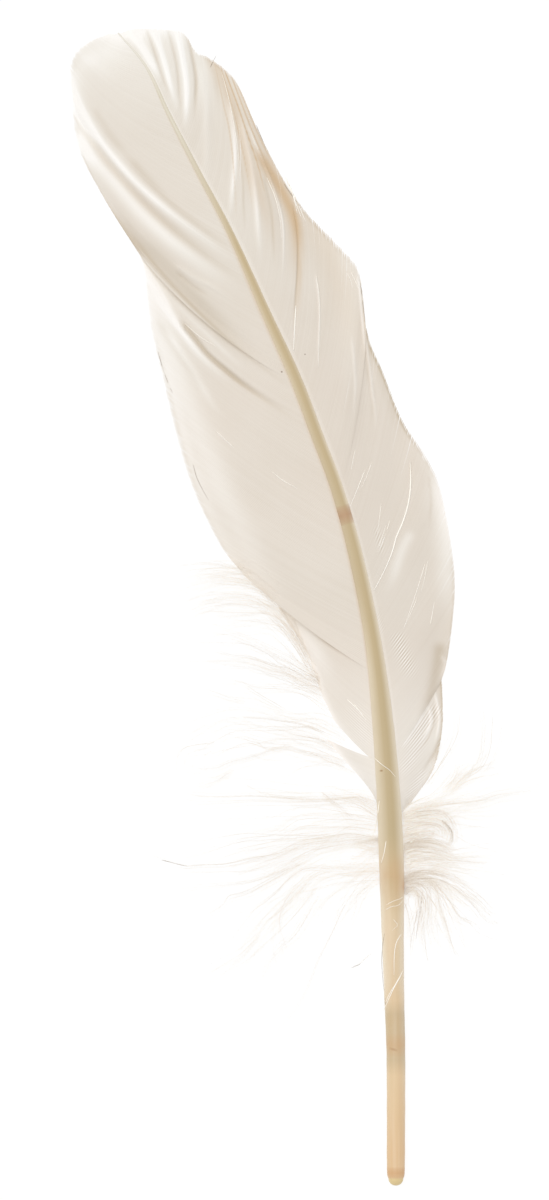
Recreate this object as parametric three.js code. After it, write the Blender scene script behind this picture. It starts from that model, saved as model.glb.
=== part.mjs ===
// A goose quill feather, lying back upwards on a flat surface.
// Millimetres. +Y runs up the straight barrel towards the tip, +X lies to its right and +Z points up.
// Places are given from the butt end of the barrel, and the finished group is moved at the very end
// so that its origin is the middle of its footprint.
import * as THREE from "three";

// ---- Driving dimensions ----------------------------------------------------

const SHAFT_SIDES = 12;
const SHAFT_STEP = 7; // length of one facet along the shaft
const BUTT_ROUNDING = [0, 0.35, 1.3, 3.4, 5]; // heights of the facets that round the butt off
const BUTT_TAPER = 0.85; // 1 would draw the butt out to a point
const SHAFT_DEPTH_SHARE = [1, 0.86]; // depth over width: at the barrel, and along the rachis
const ROUND_UP_TO = 33; // the barrel is round up to this height
const FLATTER_FROM = 96; // and the rachis has its full flattening from this one

const WEB_GAP = 0.4; // clear space between the shaft's side and a web
const WEB_THICKNESS = [1.0, 0.7]; // at the root and at the margin
const MARGIN_FLAT_FROM = 0.8; // beyond this share of a barb's length a web lies flat on the surface
const WEB_SLOPE_POWER = 1.35; // above 1, the web leaves the shaft level and then falls away
const WEB_FACETS = { along: 7.5, across: 6 }; // facet length in mm, and facets across a web

const BARB_BOW = [0.05, 0.15]; // sideways pull on a barb as a share of its length: low down, near the tip
const BOW_GROWS = [165, 240]; // the heights between which it changes from the one to the other

const DOWN_LOFT = 3; // height of the tufts of down

// The shaft's centre line and width, row by row from the butt: [y, x, width, height of its centre].
const SHAFT = [
  [0, 0, 4.5, 2.3],
  [32.9, 0, 4.7, 2.45],
  [47.2, -0.4, 5.0, 2.7],
  [61.5, -0.75, 5.5, 3.05],
  [79.7, -1.1, 6.2, 3.7],
  [96.2, -1.8, 6.0, 4.5],
  [115.7, -3.3, 5.3, 5.45],
  [136.2, -5.8, 4.1, 6.3],
  [158.2, -10.3, 3.6, 6.95],
  [174.7, -15.0, 3.2, 7.2],
  [186.4, -19.4, 3.1, 7.2],
  [201.2, -25.0, 3.0, 6.9],
  [217.2, -32.2, 2.5, 6.1],
  [237.9, -41.4, 1.7, 4.6],
  [253.4, -49.5, 1.3, 3.3],
  [267.9, -56.9, 1.0, 2.1],
  [279.7, -62.5, 0.7, 1.3],
  [287.9, -69.4, 0.4, 0.9],
];

// Each web, by its barbs from the tip end down: [height of the root on the shaft, margin x, margin y].
const WEBS = {
  left_web_upper: {
    side: -1,
    barbs: [
      [287.6, -71.6, 287.8],
      [279.7, -75.9, 286.1],
      [267.9, -79.7, 283.2],
      [253.4, -81.4, 279.2],
      [230.2, -81.1, 271.5],
      [219.9, -79.6, 259.7],
      [208.9, -72.5, 245.9],
      [201.2, -63.7, 231.9],
    ],
  },
  left_web_middle: {
    side: -1,
    barbs: [
      [198.7, -62.6, 227.5],
      [191.5, -62.2, 222.2],
      [182.4, -61.0, 213.5],
      [171.2, -58.4, 202.9],
      [159.9, -55.4, 189.9],
      [148.7, -50.7, 174.2],
      [138.7, -43.7, 159.7],
      [129.2, -38.2, 152.7],
    ],
  },
  left_web_lower: {
    side: -1,
    barbs: [
      [127.6, -29.9, 145.0],
      [121.2, -25.7, 138.7],
      [115.7, -22.0, 132.4],
      [110.5, -18.9, 123.7],
      [105.6, -15.9, 116.4],
    ],
  },
  left_web_foot: {
    side: -1,
    barbs: [
      [103.9, -20.0, 113.7],
      [101.0, -16.5, 108.5],
      [98.0, -12.0, 103.0],
      [95.0, -8.2, 98.4],
    ],
  },
  right_web_upper: {
    side: 1,
    barbs: [
      [287.6, -67.2, 288.7],
      [283.7, -64.1, 289.2],
      [279.7, -57.4, 288.9],
      [269.9, -53.0, 288.2],
      [261.4, -49.9, 283.2],
      [253.4, -47.2, 282.0],
      [237.4, -42.2, 278.4],
      [229.2, -39.4, 274.9],
      [221.2, -34.7, 264.2],
      [212.4, -27.7, 250.7],
      [201.7, -21.7, 242.4],
      [191.2, -13.4, 233.7],
      [181.2, -9.2, 227.9],
      [174.6, -7.4, 213.7],
    ],
  },
  right_web_middle: {
    side: 1,
    barbs: [
      [172.7, -6.2, 209.9],
      [167.2, -3.7, 204.4],
      [158.2, 1.5, 191.4],
      [148.7, 7.3, 182.4],
      [142.4, 10.6, 175.7],
      [134.9, 13.3, 163.7],
      [125.9, 14.8, 150.9],
      [117.4, 14.1, 139.9],
      [110.7, 12.6, 129.9],
      [108.7, 11.3, 126.1],
    ],
  },
  right_web_foot: {
    side: 1,
    barbs: [
      [106.7, 11.3, 123.4],
      [101.2, 11.6, 113.4],
      [96.9, 9.3, 103.7],
      [93.2, 4.3, 96.2],
    ],
  },
};

// The footprint of each tuft of down, as one closed outline.
const DOWN_OUTLINES = {
  left_down: [
    [-5.4, 93.9],
    [-5.2, 79.7],
    [-4.4, 63.7],
    [-3.9, 55.0],
    [-11.0, 54.7],
    [-16.5, 49.9],
    [-24.0, 39.2],
    [-33.4, 36.2],
    [-42.7, 48.7],
    [-50.2, 54.2],
    [-60.9, 78.7],
    [-60.9, 84.0],
    [-59.4, 99.9],
    [-56.4, 111.2],
    [-57.7, 131.2],
    [-52.7, 141.2],
    [-51.4, 156.2],
    [-42.7, 155.7],
    [-38.9, 149.9],
    [-31.9, 143.7],
    [-27.7, 137.2],
    [-23.9, 131.2],
    [-21.2, 123.7],
    [-20.9, 117.4],
    [-22.4, 114.2],
    [-17.7, 108.2],
    [-13.2, 102.7],
    [-8.4, 96.9],
  ],
  right_down: [
    [3.0, 89.7],
    [6.0, 94.7],
    [11.3, 101.7],
    [13.6, 112.4],
    [13.3, 121.2],
    [15.3, 128.2],
    [21.0, 123.2],
    [26.5, 119.9],
    [31.0, 108.7],
    [36.8, 100.4],
    [33.5, 93.2],
    [27.3, 87.4],
    [26.5, 65.7],
    [21.0, 57.4],
    [14.8, 49.2],
    [10.0, 51.7],
    [4.5, 59.2],
    [2.8, 64.9],
  ],
};

// ---- Finishes ----------------------------------------------------------------

const horn = new THREE.MeshStandardMaterial({ color: 0xd8bf92, roughness: 0.35, metalness: 0 });
const vane = new THREE.MeshStandardMaterial({ color: 0xe4dacb, roughness: 0.75, metalness: 0 });
const down = new THREE.MeshStandardMaterial({ color: 0xf4f0ea, roughness: 0.9, metalness: 0 });

// ---- Helpers -----------------------------------------------------------------

const mix = THREE.MathUtils.lerp;

// One column of a table whose rows start with y, read at a height y along smooth steps between rows.
function readTable(rows, column, y) {
  const last = rows.length - 1;
  const above = rows.findIndex((row) => row[0] > y);
  const high = above < 0 ? last : Math.max(above, 1);
  const low = high - 1;
  const slopeAt = (i) => {
    const a = rows[Math.max(i - 1, 0)];
    const b = rows[Math.min(i + 1, last)];
    return (b[column] - a[column]) / (b[0] - a[0]);
  };
  const length = rows[high][0] - rows[low][0];
  const t = THREE.MathUtils.clamp((y - rows[low][0]) / length, 0, 1);
  const start = rows[low][column];
  const rise = rows[high][column] - start;
  const bowAfterLow = (1 - t) * (slopeAt(low) * length - rise);
  const bowBeforeHigh = t * (slopeAt(high) * length - rise);
  return start + rise * t + t * (1 - t) * (bowAfterLow - bowBeforeHigh);
}

// The shaft at a height y: its centre, its half width and the direction to its right, square to its run.
function shaftAt(y) {
  const centre = new THREE.Vector3(readTable(SHAFT, 1, y), y, readTable(SHAFT, 3, y));
  const reach = 1;
  const lean = (readTable(SHAFT, 1, y + reach) - readTable(SHAFT, 1, y - reach)) / (2 * reach);
  const right = new THREE.Vector3(1, -lean, 0).normalize();
  return { centre, right, halfWidth: readTable(SHAFT, 2, y) / 2 };
}

// Moves every corner of a geometry to where the given function sends it.
function reshaped(geometry, place) {
  const corners = geometry.getAttribute("position");
  const point = new THREE.Vector3();
  for (let i = 0; i < corners.count; i += 1) {
    place(point.fromBufferAttribute(corners, i));
    corners.setXYZ(i, point.x, point.y, point.z);
  }
  geometry.computeVertexNormals();
  return geometry;
}

// ---- Sub-parts -----------------------------------------------------------------

// The whole shaft: a round barrel with a blunt butt, drawn out into the tapering rachis.
function quillShaft() {
  const top = SHAFT.at(-1)[0];
  const straight = BUTT_ROUNDING.at(-1);
  const facets = Math.round((top - straight) / SHAFT_STEP);
  const heights = [...BUTT_ROUNDING];
  for (let i = 1; i <= facets; i += 1) heights.push(mix(straight, top, i / facets));
  const rows = heights.length - 1;
  const unit = new THREE.CylinderGeometry(1, 1, 1, SHAFT_SIDES, rows);
  return reshaped(unit, (p) => {
    const y = heights[Math.round((p.y + 0.5) * rows)];
    const { centre, right, halfWidth } = shaftAt(y);
    const fromFullWidth = Math.max(0, 1 - y / straight);
    const roundedOff = Math.sqrt(1 - BUTT_TAPER * fromFullWidth ** 4);
    const depthShare = mix(...SHAFT_DEPTH_SHARE, THREE.MathUtils.smoothstep(y, ROUND_UP_TO, FLATTER_FROM));
    const across = p.x * halfWidth * roundedOff;
    const upwards = p.z * halfWidth * roundedOff * depthShare;
    p.copy(centre).addScaledVector(right, across);
    p.z += upwards;
  });
}

// A web of hooked barbs: a thin sheet from the shaft's side out to its margin, where it lies flat.
function web({ side, barbs }) {
  const outline = new THREE.CatmullRomCurve3(barbs.map((barb) => new THREE.Vector3(...barb)));
  const length = outline.getLength();
  const along = Math.max(4, Math.round(length / WEB_FACETS.along));
  const unit = new THREE.BoxGeometry(1, 1, 1, WEB_FACETS.across, along, 1);
  return reshaped(unit, (p) => {
    const u = 0.5 + side * p.x;
    const barb = outline.getPoint(0.5 - p.y);
    const { centre, right, halfWidth } = shaftAt(barb.x);
    const root = new THREE.Vector2(centre.x, centre.y);
    root.x += side * right.x * (halfWidth + WEB_GAP);
    root.y += side * right.y * (halfWidth + WEB_GAP);
    const margin = new THREE.Vector2(barb.y, barb.z);
    const chord = margin.clone().sub(root);
    const pull = side * mix(...BARB_BOW, THREE.MathUtils.smoothstep(barb.x, ...BOW_GROWS));
    const bow = new THREE.Vector2(chord.y, -chord.x).multiplyScalar(pull);
    const control = root.clone().add(margin).multiplyScalar(0.5).add(bow);
    const spot = new THREE.QuadraticBezierCurve(root, control, margin).getPoint(u);
    const thickness = mix(...WEB_THICKNESS, u);
    const rootUnderside = centre.z - WEB_THICKNESS[0] / 2;
    const fall = Math.min(1, u / MARGIN_FLAT_FROM) ** WEB_SLOPE_POWER;
    const underside = rootUnderside * (1 - fall);
    p.set(spot.x, spot.y, p.z < 0 ? underside : underside + thickness);
  });
}

// A tuft of loose down, as the flat space that its barbs fill.
function tuft(outline) {
  const footprint = new THREE.Shape(outline.map(([x, y]) => new THREE.Vector2(x, y)));
  return new THREE.ExtrudeGeometry(footprint, { depth: DOWN_LOFT, bevelEnabled: false });
}

// ---- The feather ---------------------------------------------------------------

const feather = new THREE.Group();

function addPart(name, geometry, material) {
  const part = new THREE.Mesh(geometry, material);
  part.name = name;
  feather.add(part);
}

addPart("quill_shaft", quillShaft(), horn);
for (const [name, shape] of Object.entries(WEBS)) addPart(name, web(shape), vane);
for (const [name, outline] of Object.entries(DOWN_OUTLINES)) addPart(name, tuft(outline), down);

const footprint = new THREE.Box3().setFromObject(feather);
const middle = footprint.getCenter(new THREE.Vector3());
feather.position.set(-middle.x, -middle.y, -footprint.min.z);

export default feather;
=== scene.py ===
# %% [markdown]
# # A goose quill feather
#
# The feather lies back upwards on a flat surface. A round horn barrel runs up the right-hand side
# and turns into a long curved rachis. Rows of barbs leave it on both sides and hook together into
# webs, and loose down grows at the foot. This lesson rebuilds each of them as it grew: the shaft as
# one drawn-out rod, the webs barb by barb, and the down hair by hair.
#
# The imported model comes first. It says where the butt of the quill is, and everything else is
# placed in millimetres from there, with Y up the straight barrel and X to its right.

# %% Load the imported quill
import math

import bmesh
import bpy
import numpy as np
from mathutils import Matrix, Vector
from mathutils.bvhtree import BVHTree


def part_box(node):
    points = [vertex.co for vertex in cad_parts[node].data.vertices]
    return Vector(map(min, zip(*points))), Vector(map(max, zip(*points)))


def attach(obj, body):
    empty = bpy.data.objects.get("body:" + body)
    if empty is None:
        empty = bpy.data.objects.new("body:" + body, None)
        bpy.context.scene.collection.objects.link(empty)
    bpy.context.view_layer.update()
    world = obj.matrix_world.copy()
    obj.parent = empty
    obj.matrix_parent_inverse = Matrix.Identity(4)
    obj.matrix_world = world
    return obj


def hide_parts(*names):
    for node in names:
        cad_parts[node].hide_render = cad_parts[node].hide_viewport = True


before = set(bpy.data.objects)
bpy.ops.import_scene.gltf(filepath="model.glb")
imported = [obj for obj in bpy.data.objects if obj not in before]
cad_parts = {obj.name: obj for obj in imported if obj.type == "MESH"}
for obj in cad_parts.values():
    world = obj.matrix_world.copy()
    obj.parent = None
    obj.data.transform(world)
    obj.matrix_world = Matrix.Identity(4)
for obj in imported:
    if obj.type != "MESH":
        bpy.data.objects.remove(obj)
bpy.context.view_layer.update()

MM = 0.001
DOWN_REACH = 36.8  # from the barrel's axis to the right-hand end of the down
BUTT = np.array([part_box("right_down")[1].x / MM - DOWN_REACH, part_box("quill_shaft")[0].y / MM, 0.0])
rng = np.random.default_rng(24)


def in_metres(x, y, z=0.0):
    """A place in mm from the butt, as one in the scene's metres."""
    return (x + BUTT[0]) * MM, (y + BUTT[1]) * MM, z * MM


print("butt of the quill, mm:", BUTT.round(2))

# %% [markdown]
# ## Reading a smooth line from a few rows
#
# The shaft and the webs are described by short tables. A straight walk from row to row would show
# corners, so a value between two rows is read along a cubic step that leaves each row with the
# slope of its neighbours. The CAD model was drawn with the same step, so both models agree.

# %% Read a table smoothly


def smooth_read(keys, values, at):
    keys = np.asarray(keys, float)
    values = np.asarray(values, float)
    at = np.clip(at, keys[0], keys[-1])
    low = np.clip(np.searchsorted(keys, at, side="right") - 1, 0, len(keys) - 2)
    slopes = np.empty_like(values)
    slopes[1:-1] = (values[2:] - values[:-2]) / (keys[2:] - keys[:-2])
    slopes[0] = (values[1] - values[0]) / (keys[1] - keys[0])
    slopes[-1] = (values[-1] - values[-2]) / (keys[-1] - keys[-2])
    step = keys[low + 1] - keys[low]
    t = (at - keys[low]) / step
    rise = values[low + 1] - values[low]
    bow = (1 - t) * (slopes[low] * step - rise) - t * (slopes[low + 1] * step - rise)
    return values[low] + rise * t + t * (1 - t) * bow


def smooth_step(low, high, at):
    t = np.clip((np.asarray(at, float) - low) / (high - low), 0, 1)
    return t * t * (3 - 2 * t)


# The shaft's centre line and width: [height up the feather, x, width, height off the surface].
SHAFT = np.array([
    [0, 0, 4.5, 2.3],
    [32.9, 0, 4.7, 2.45],
    [47.2, -0.4, 5.0, 2.7],
    [61.5, -0.75, 5.5, 3.05],
    [79.7, -1.1, 6.2, 3.7],
    [96.2, -1.8, 6.0, 4.5],
    [115.7, -3.3, 5.3, 5.45],
    [136.2, -5.8, 4.1, 6.3],
    [158.2, -10.3, 3.6, 6.95],
    [174.7, -15.0, 3.2, 7.2],
    [186.4, -19.4, 3.1, 7.2],
    [201.2, -25.0, 3.0, 6.9],
    [217.2, -32.2, 2.5, 6.1],
    [237.9, -41.4, 1.7, 4.6],
    [253.4, -49.5, 1.3, 3.3],
    [267.9, -56.9, 1.0, 2.1],
    [279.7, -62.5, 0.7, 1.3],
    [287.9, -69.4, 0.4, 0.9],
])


def shaft_at(y):
    """Centre x and z, half width and the unit direction to the right of the shaft at heights y."""
    heights, middle, width, lift = SHAFT.T
    x = smooth_read(heights, middle, y)
    z = smooth_read(heights, lift, y)
    half_width = smooth_read(heights, width, y) / 2
    lean = (smooth_read(heights, middle, y + 1) - smooth_read(heights, middle, y - 1)) / 2
    length = np.hypot(1, lean)
    return x, z, half_width, 1 / length, -lean / length


print("shaft at mid length:", [round(float(v), 2) for v in shaft_at(np.array(145.0))])

# %% [markdown]
# ## One rod, copied and bent
#
# Shaft, barbs, down and stray hairs are all long rods that taper and bend. A cylinder primitive has
# no rings along its length, and a curve object would be one object for each hair. So one closed rod
# is cut into rings with bmesh. Its corners then serve as a pattern: X and Y give the place round
# the section and Z the share of the length. Copying that pattern hundreds of times in one array
# keeps thousands of hairs in a single mesh.

# %% The rod and its joined copies


def rod(sides, rings):
    """Corners (across, up, share of length) and faces of a closed rod."""
    bm = bmesh.new()
    bmesh.ops.create_cone(bm, cap_ends=True, segments=sides, radius1=1, radius2=1, depth=1)
    bmesh.ops.translate(bm, verts=bm.verts[:], vec=(0, 0, 0.5))
    lengthwise = [e for e in bm.edges if abs(e.verts[0].co.z - e.verts[1].co.z) > 0.5]
    bmesh.ops.subdivide_edges(bm, edges=lengthwise, cuts=rings - 1, use_grid_fill=True)
    return corners_and_faces(bm)


def corners_and_faces(bm):
    corners = np.array([v.co[:] for v in bm.verts])
    faces = [[v.index for v in f.verts] for f in bm.faces]
    bm.free()
    return corners, faces


def new_object(name, data):
    made = bpy.data.objects.new(name, data)
    bpy.context.scene.collection.objects.link(made)
    return made


def object_from(bm, name):
    mesh = bpy.data.meshes.new(name)
    bm.to_mesh(mesh)
    bm.free()
    return new_object(name, mesh)


def joined_copies(name, faces, points, smooth=True, **attributes):
    """One mesh of many copies: points holds a row of corners in mm for each copy."""
    copies, corners = points.shape[:2]
    sizes = np.array([len(f) for f in faces])
    corner_ids = np.concatenate(faces)
    all_ids = (corner_ids[None, :] + np.arange(copies)[:, None] * corners).ravel()
    all_sizes = np.tile(sizes, copies)
    mesh = bpy.data.meshes.new(name)
    mesh.vertices.add(copies * corners)
    mesh.vertices.foreach_set("co", ((points + BUTT) * MM).astype(np.float32).ravel())
    mesh.loops.add(len(all_ids))
    mesh.loops.foreach_set("vertex_index", all_ids.astype(np.int32))
    mesh.polygons.add(len(all_sizes))
    mesh.polygons.foreach_set("loop_start", (np.cumsum(all_sizes) - all_sizes).astype(np.int32))
    mesh.polygons.foreach_set("use_smooth", np.full(len(all_sizes), smooth))
    mesh.update(calc_edges=True)
    for label, values in attributes.items():
        store = mesh.attributes.new(label, "FLOAT", "POINT")
        spread = np.broadcast_to(values, (copies, corners)).astype(np.float32)
        store.data.foreach_set("value", spread.ravel())
    return new_object(name, mesh)


def report(piece):
    triangles = sum(len(p.vertices) - 2 for p in piece.data.polygons)
    print(f"{piece.name}: {triangles} triangles")


print("a four-sided rod of 40 rings has", len(rod(4, 40)[1]), "faces")

# %% [markdown]
# ## Colours as the eye sees them
#
# The soft light of this scene leaves a level surface about as bright as its paint. So each colour
# is written as it should look, in ordinary 0 to 255 values, and a helper turns it into the linear
# values that a shader takes. The other helpers each add one node, so that a material reads like a
# recipe: read an attribute, rescale it, mix two colours by it.

# %% Colours and small node helpers


def linear(value):
    share = value / 255
    return share / 12.92 if share <= 0.04045 else ((share + 0.055) / 1.055) ** 2.4


def as_seen(red, green, blue):
    return linear(red), linear(green), linear(blue), 1.0


def new_material(name, roughness, specular, sheen=0.0):
    material = bpy.data.materials.new(name)
    material.use_nodes = True
    shader = material.node_tree.nodes["Principled BSDF"]
    shader.inputs["Roughness"].default_value = roughness
    shader.inputs["Specular IOR Level"].default_value = specular
    shader.inputs["Sheen Weight"].default_value = sheen
    return material, material.node_tree, shader


def glow(shader, strength, red, green, blue):
    shader.inputs["Emission Color"].default_value = (red, green, blue, 1)
    shader.inputs["Emission Strength"].default_value = strength


def add_node(tree, kind, **settings):
    node = tree.nodes.new(kind)
    for key, value in settings.items():
        setattr(node, key, value)
    return node


def feed(tree, socket, source):
    """Sets a socket to a plain value, or links another node's output to it."""
    if isinstance(source, (tuple, float, int)):
        socket.default_value = source
    else:
        tree.links.new(source, socket)


def read_attribute(tree, name):
    return add_node(tree, "ShaderNodeAttribute", attribute_name=name).outputs["Fac"]


def object_place(tree):
    return add_node(tree, "ShaderNodeTexCoord").outputs["Object"]


def ramp(tree, factor, stops):
    """A colour ramp with stops as {position: colour}."""
    node = add_node(tree, "ShaderNodeValToRGB")
    elements = node.color_ramp.elements
    for place, colour in sorted(stops.items()):
        if place == min(stops):
            stop = elements[0]
        elif place == max(stops):
            stop = elements[-1]
        else:
            stop = elements.new(place)
        stop.position = place
        stop.color = as_seen(*colour)
    tree.links.new(factor, node.inputs["Fac"])
    return node.outputs["Color"]


def rescale(tree, value, low, high):
    """0 at low and 1 at high, which may be the smaller of the two."""
    node = add_node(tree, "ShaderNodeMapRange")
    node.inputs["From Min"].default_value = low
    node.inputs["From Max"].default_value = high
    tree.links.new(value, node.inputs["Value"])
    return node.outputs["Result"]


def mix(tree, factor, first, second, blend="MIX"):
    node = add_node(tree, "ShaderNodeMix", data_type="RGBA", blend_type=blend)
    for socket, source in ((0, factor), (6, first), (7, second)):
        feed(tree, node.inputs[socket], source)
    return node.outputs[2]


def calc(tree, operation, first, second):
    node = add_node(tree, "ShaderNodeMath", operation=operation)
    for socket, source in enumerate((first, second)):
        feed(tree, node.inputs[socket], source)
    return node.outputs[0]


def times(tree, first, second):
    return calc(tree, "MULTIPLY", first, second)


def tinted(tree, colour, where, strength, tint):
    """A colour that takes on a tint where the value named where is above 0."""
    return mix(tree, times(tree, where, strength), colour, as_seen(*tint))


def noise_of(tree, place, scale, detail=2.0, stretch=(1, 1, 1)):
    mapping = add_node(tree, "ShaderNodeMapping")
    mapping.inputs["Scale"].default_value = stretch
    tree.links.new(place, mapping.inputs["Vector"])
    node = add_node(tree, "ShaderNodeTexNoise")
    node.inputs["Scale"].default_value = scale
    node.inputs["Detail"].default_value = detail
    tree.links.new(mapping.outputs["Vector"], node.inputs["Vector"])
    return node.outputs["Fac"]


def finish_piece(piece, material, slot, *nodes):
    piece.data.materials.append(material)
    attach(piece, "root")
    if nodes:
        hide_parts(*nodes)
    report(piece)


print("a mid brown as a shader takes it:", [round(v, 3) for v in as_seen(150, 120, 90)])

# %% [markdown]
# ## The quill shaft
#
# The shaft is one horn rod. Its barrel is round and closed at the butt by a small plug that stands
# a little out of the rim, and above the down it turns into the rachis, which is a little flatter and
# tapers to a hair at the tip. A lathe could make the barrel, but not the curved, flattened rachis,
# so the rod pattern is drawn along the shaft's own line instead. Horn is never quite even, so the
# width swells and shrinks a little on its way.

# %% Shape of the shaft
SHAFT_SIDES = 40
SHAFT_RINGS = 240
RING_CROWDING = 1.7  # above 1, rings crowd together at the butt
# [height, share of the full width] of the plug and the rim at the butt
BUTT_PROFILE = [
    [0, 0.04], [0.12, 0.34], [0.5, 0.6], [1.2, 0.79], [1.9, 0.83],
    [2.15, 0.9], [2.7, 0.955], [4.4, 1], [9, 1],
]
RACHIS_FLATTENING = 0.14  # share of its depth that the rachis loses
FLATTENS_AT = (33, 96)  # between these heights
SWELLING = 0.012  # share of the width
SWELLS_PER_MM = (0.9, 0.23)  # two waves in radians, which beat with each other


def build_shaft():
    corners, faces = rod(SHAFT_SIDES, SHAFT_RINGS)
    across, up, share = corners.T
    y = SHAFT[-1, 0] * share**RING_CROWDING
    x, z, half_width, right_x, right_y = shaft_at(y)
    butt = np.array(BUTT_PROFILE)
    half_width = half_width * np.interp(y, butt[:, 0], butt[:, 1])
    depth = half_width * (1 - RACHIS_FLATTENING * smooth_step(*FLATTENS_AT, y))
    wave = 1 + SWELLING * np.sin(y * SWELLS_PER_MM[0]) * np.sin(y * SWELLS_PER_MM[1])
    points = np.stack([
        x + across * half_width * wave * right_x,
        y + across * half_width * wave * right_y,
        z + up * depth,
    ], axis=1)
    return joined_copies("quill_horn", faces, points[None], across=across, height=y)


quill = build_shaft()
print("corners of the shaft:", len(quill.data.vertices))

# %% [markdown]
# ### Horn
#
# Horn is cream in the barrel and tan in the rachis, and its thin sides look paler than its middle.
# That paleness is partly the horn's own colour and partly painted light: the left side is painted
# as if lit from the left, and the right side is painted lighter against the shade on its round side.
# An image texture could hold all that, but it would blur from close by. So three tints are mixed
# instead: the height up the shaft says how tan the middle is and how pale each side is, and the
# paleness of a side fades towards the middle.

# %% Colours of the horn
CREAM = (227, 199, 159)
TAN = (196, 176, 138)
PALE = (243, 231, 209)
# (share in the barrel, [(begins, complete, change)]): shares that change on the way up, in mm
TAN_SHARE = (0, [(42, 51, 0.3), (64, 76, 0.35), (80, 88, 0.35)])
# the paleness of the two sides is partly the horn's own and partly painted light: lit from the left, and
# lightened against the shade on the right
LEFT_PALE_AND_LIT = (0.1, [(42, 51, 0.8), (64, 76, -0.2), (130, 150, -0.4), (176, 205, 0.3)])
RIGHT_PALE_AND_LIT = (0.3, [(42, 51, 0.7), (176, 205, -0.45)])
# across the shaft, from 0 at its left to 1 at its right: where paleness sets in and is complete
LEFT_SIDE = (0.44, 0)
RIGHT_SIDE = (0.62, 1)
RIGHT_SHARPNESS = 1.6  # above 1, the paleness keeps closer to the edge
NECK_PALENESS = 0.3
NECK_ZONE = [(42, 51), (76, 64)]  # it sets in and fades out between these heights
PALE_TIP = [(234, 264, (223, 215, 196)), (272, 286, (236, 231, 220))]
WARM_BUTT = (26, 8)  # heights, from the upper to the lower one


def share_at(tree, height, share, changes):
    for begins, complete, change in changes:
        step = times(tree, rescale(tree, height, begins, complete), change)
        share = calc(tree, "ADD", step, share)
    return share


def horn_zones(tree, across, height):
    colour = mix(tree, share_at(tree, height, *TAN_SHARE), as_seen(*CREAM), as_seen(*TAN))
    sets_in, fades_out = (rescale(tree, height, *heights) for heights in NECK_ZONE)
    colour = tinted(tree, colour, times(tree, sets_in, fades_out), NECK_PALENESS, PALE)
    # the sides take the pale tint, partly as their own colour and partly as painted light
    left = times(tree, rescale(tree, across, *LEFT_SIDE), share_at(tree, height, *LEFT_PALE_AND_LIT))
    colour = tinted(tree, colour, left, 1, PALE)
    near_right = calc(tree, "POWER", rescale(tree, across, *RIGHT_SIDE), RIGHT_SHARPNESS)
    right = times(tree, near_right, share_at(tree, height, *RIGHT_PALE_AND_LIT))
    colour = tinted(tree, colour, right, 1, PALE)
    for begins, complete, tint in PALE_TIP:
        colour = tinted(tree, colour, rescale(tree, height, begins, complete), 1, tint)
    return tinted(tree, colour, rescale(tree, height, *WARM_BUTT), 0.6, (225, 187, 142))


print("tints of horn:", CREAM, TAN, PALE)

# %% [markdown]
# ### Fibres and marks of age
#
# Horn is a bundle of fibres, so noise that is stretched along the shaft makes light and dark
# streaks in the barrel. The marks sit at their own heights, and each fades out from its middle: a
# warm tint and a small scar where the down grows, a grey zone with a rusty ring and a slanted
# crack across it, a reddish bruise half way up, a tiny dark nick at the foot of the rachis, and
# at the butt the brown rim and the yellow plug.

# %% Marks on the horn
GREY = (0.83, 0.855, 0.855, 1)  # the horn's colour is multiplied by this and the next
RUST = (1, 0.88, 0.8, 1)
GREY_ZONE = [(27.5, 31.5), (46.5, 43)]  # it sets in and fades out between these heights
# (height of its middle, reach, how sharply it fades): places of the marks, in mm
WARM_PATCH = (77, 9, 1)
RING = (35.2, 3, 0.7)
CRACK = (34.6, 0.4, 0.6)  # where it would meet the left side of the shaft
SCAR = (74.8, 2, 0.7)
BRUISE = (167.4, 2.4, 0.5)
RIM = (3.3, 1.5, 0.6)
NICK = (103.8, 0.3, 0.7)
PLUG = (2.2, 1.6)  # sets in between these heights
# the same across the shaft, from 0 at its left side to 1 at its right
CRACK_ACROSS = (0.36, 0.24, 0.6)
NICK_ACROSS = (0.26, 0.08, 0.7)
SCAR_ACROSS = (0.84, 1)  # sets in between these
CRACK_SLANT = 1.2  # mm of height that the crack drops on its way across
BARREL_ENDS = (84, 66)  # the fibres are gone above the first height


def tint_at(tree, value, centre, reach, sharpness):
    """1 where the value is at its centre, falling to 0 at reach from it."""
    away = calc(tree, "ABSOLUTE", calc(tree, "SUBTRACT", value, centre), 0)
    near = calc(tree, "SUBTRACT", 1.0, calc(tree, "DIVIDE", away, reach))
    clipped = calc(tree, "MAXIMUM", near, 0.0)
    return calc(tree, "POWER", clipped, sharpness)


def horn_streaks(tree, colour, height, place, fibres):
    in_barrel = rescale(tree, height, *BARREL_ENDS)
    light = times(tree, rescale(tree, fibres, 0.42, 0.7), in_barrel)
    colour = tinted(tree, colour, light, 0.35, (238, 214, 184))
    streaks = noise_of(tree, place, 420, 2, (1, 0.03, 1))
    dark = times(tree, rescale(tree, streaks, 0.5, 0.75), in_barrel)
    colour = tinted(tree, colour, dark, 0.3, (214, 172, 124))
    blotches = noise_of(tree, place, 160, 3, (1, 0.6, 1))
    warm = times(tree, tint_at(tree, height, *WARM_PATCH), rescale(tree, blotches, 0.35, 0.6))
    return tinted(tree, colour, warm, 0.35, (206, 160, 110))


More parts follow.
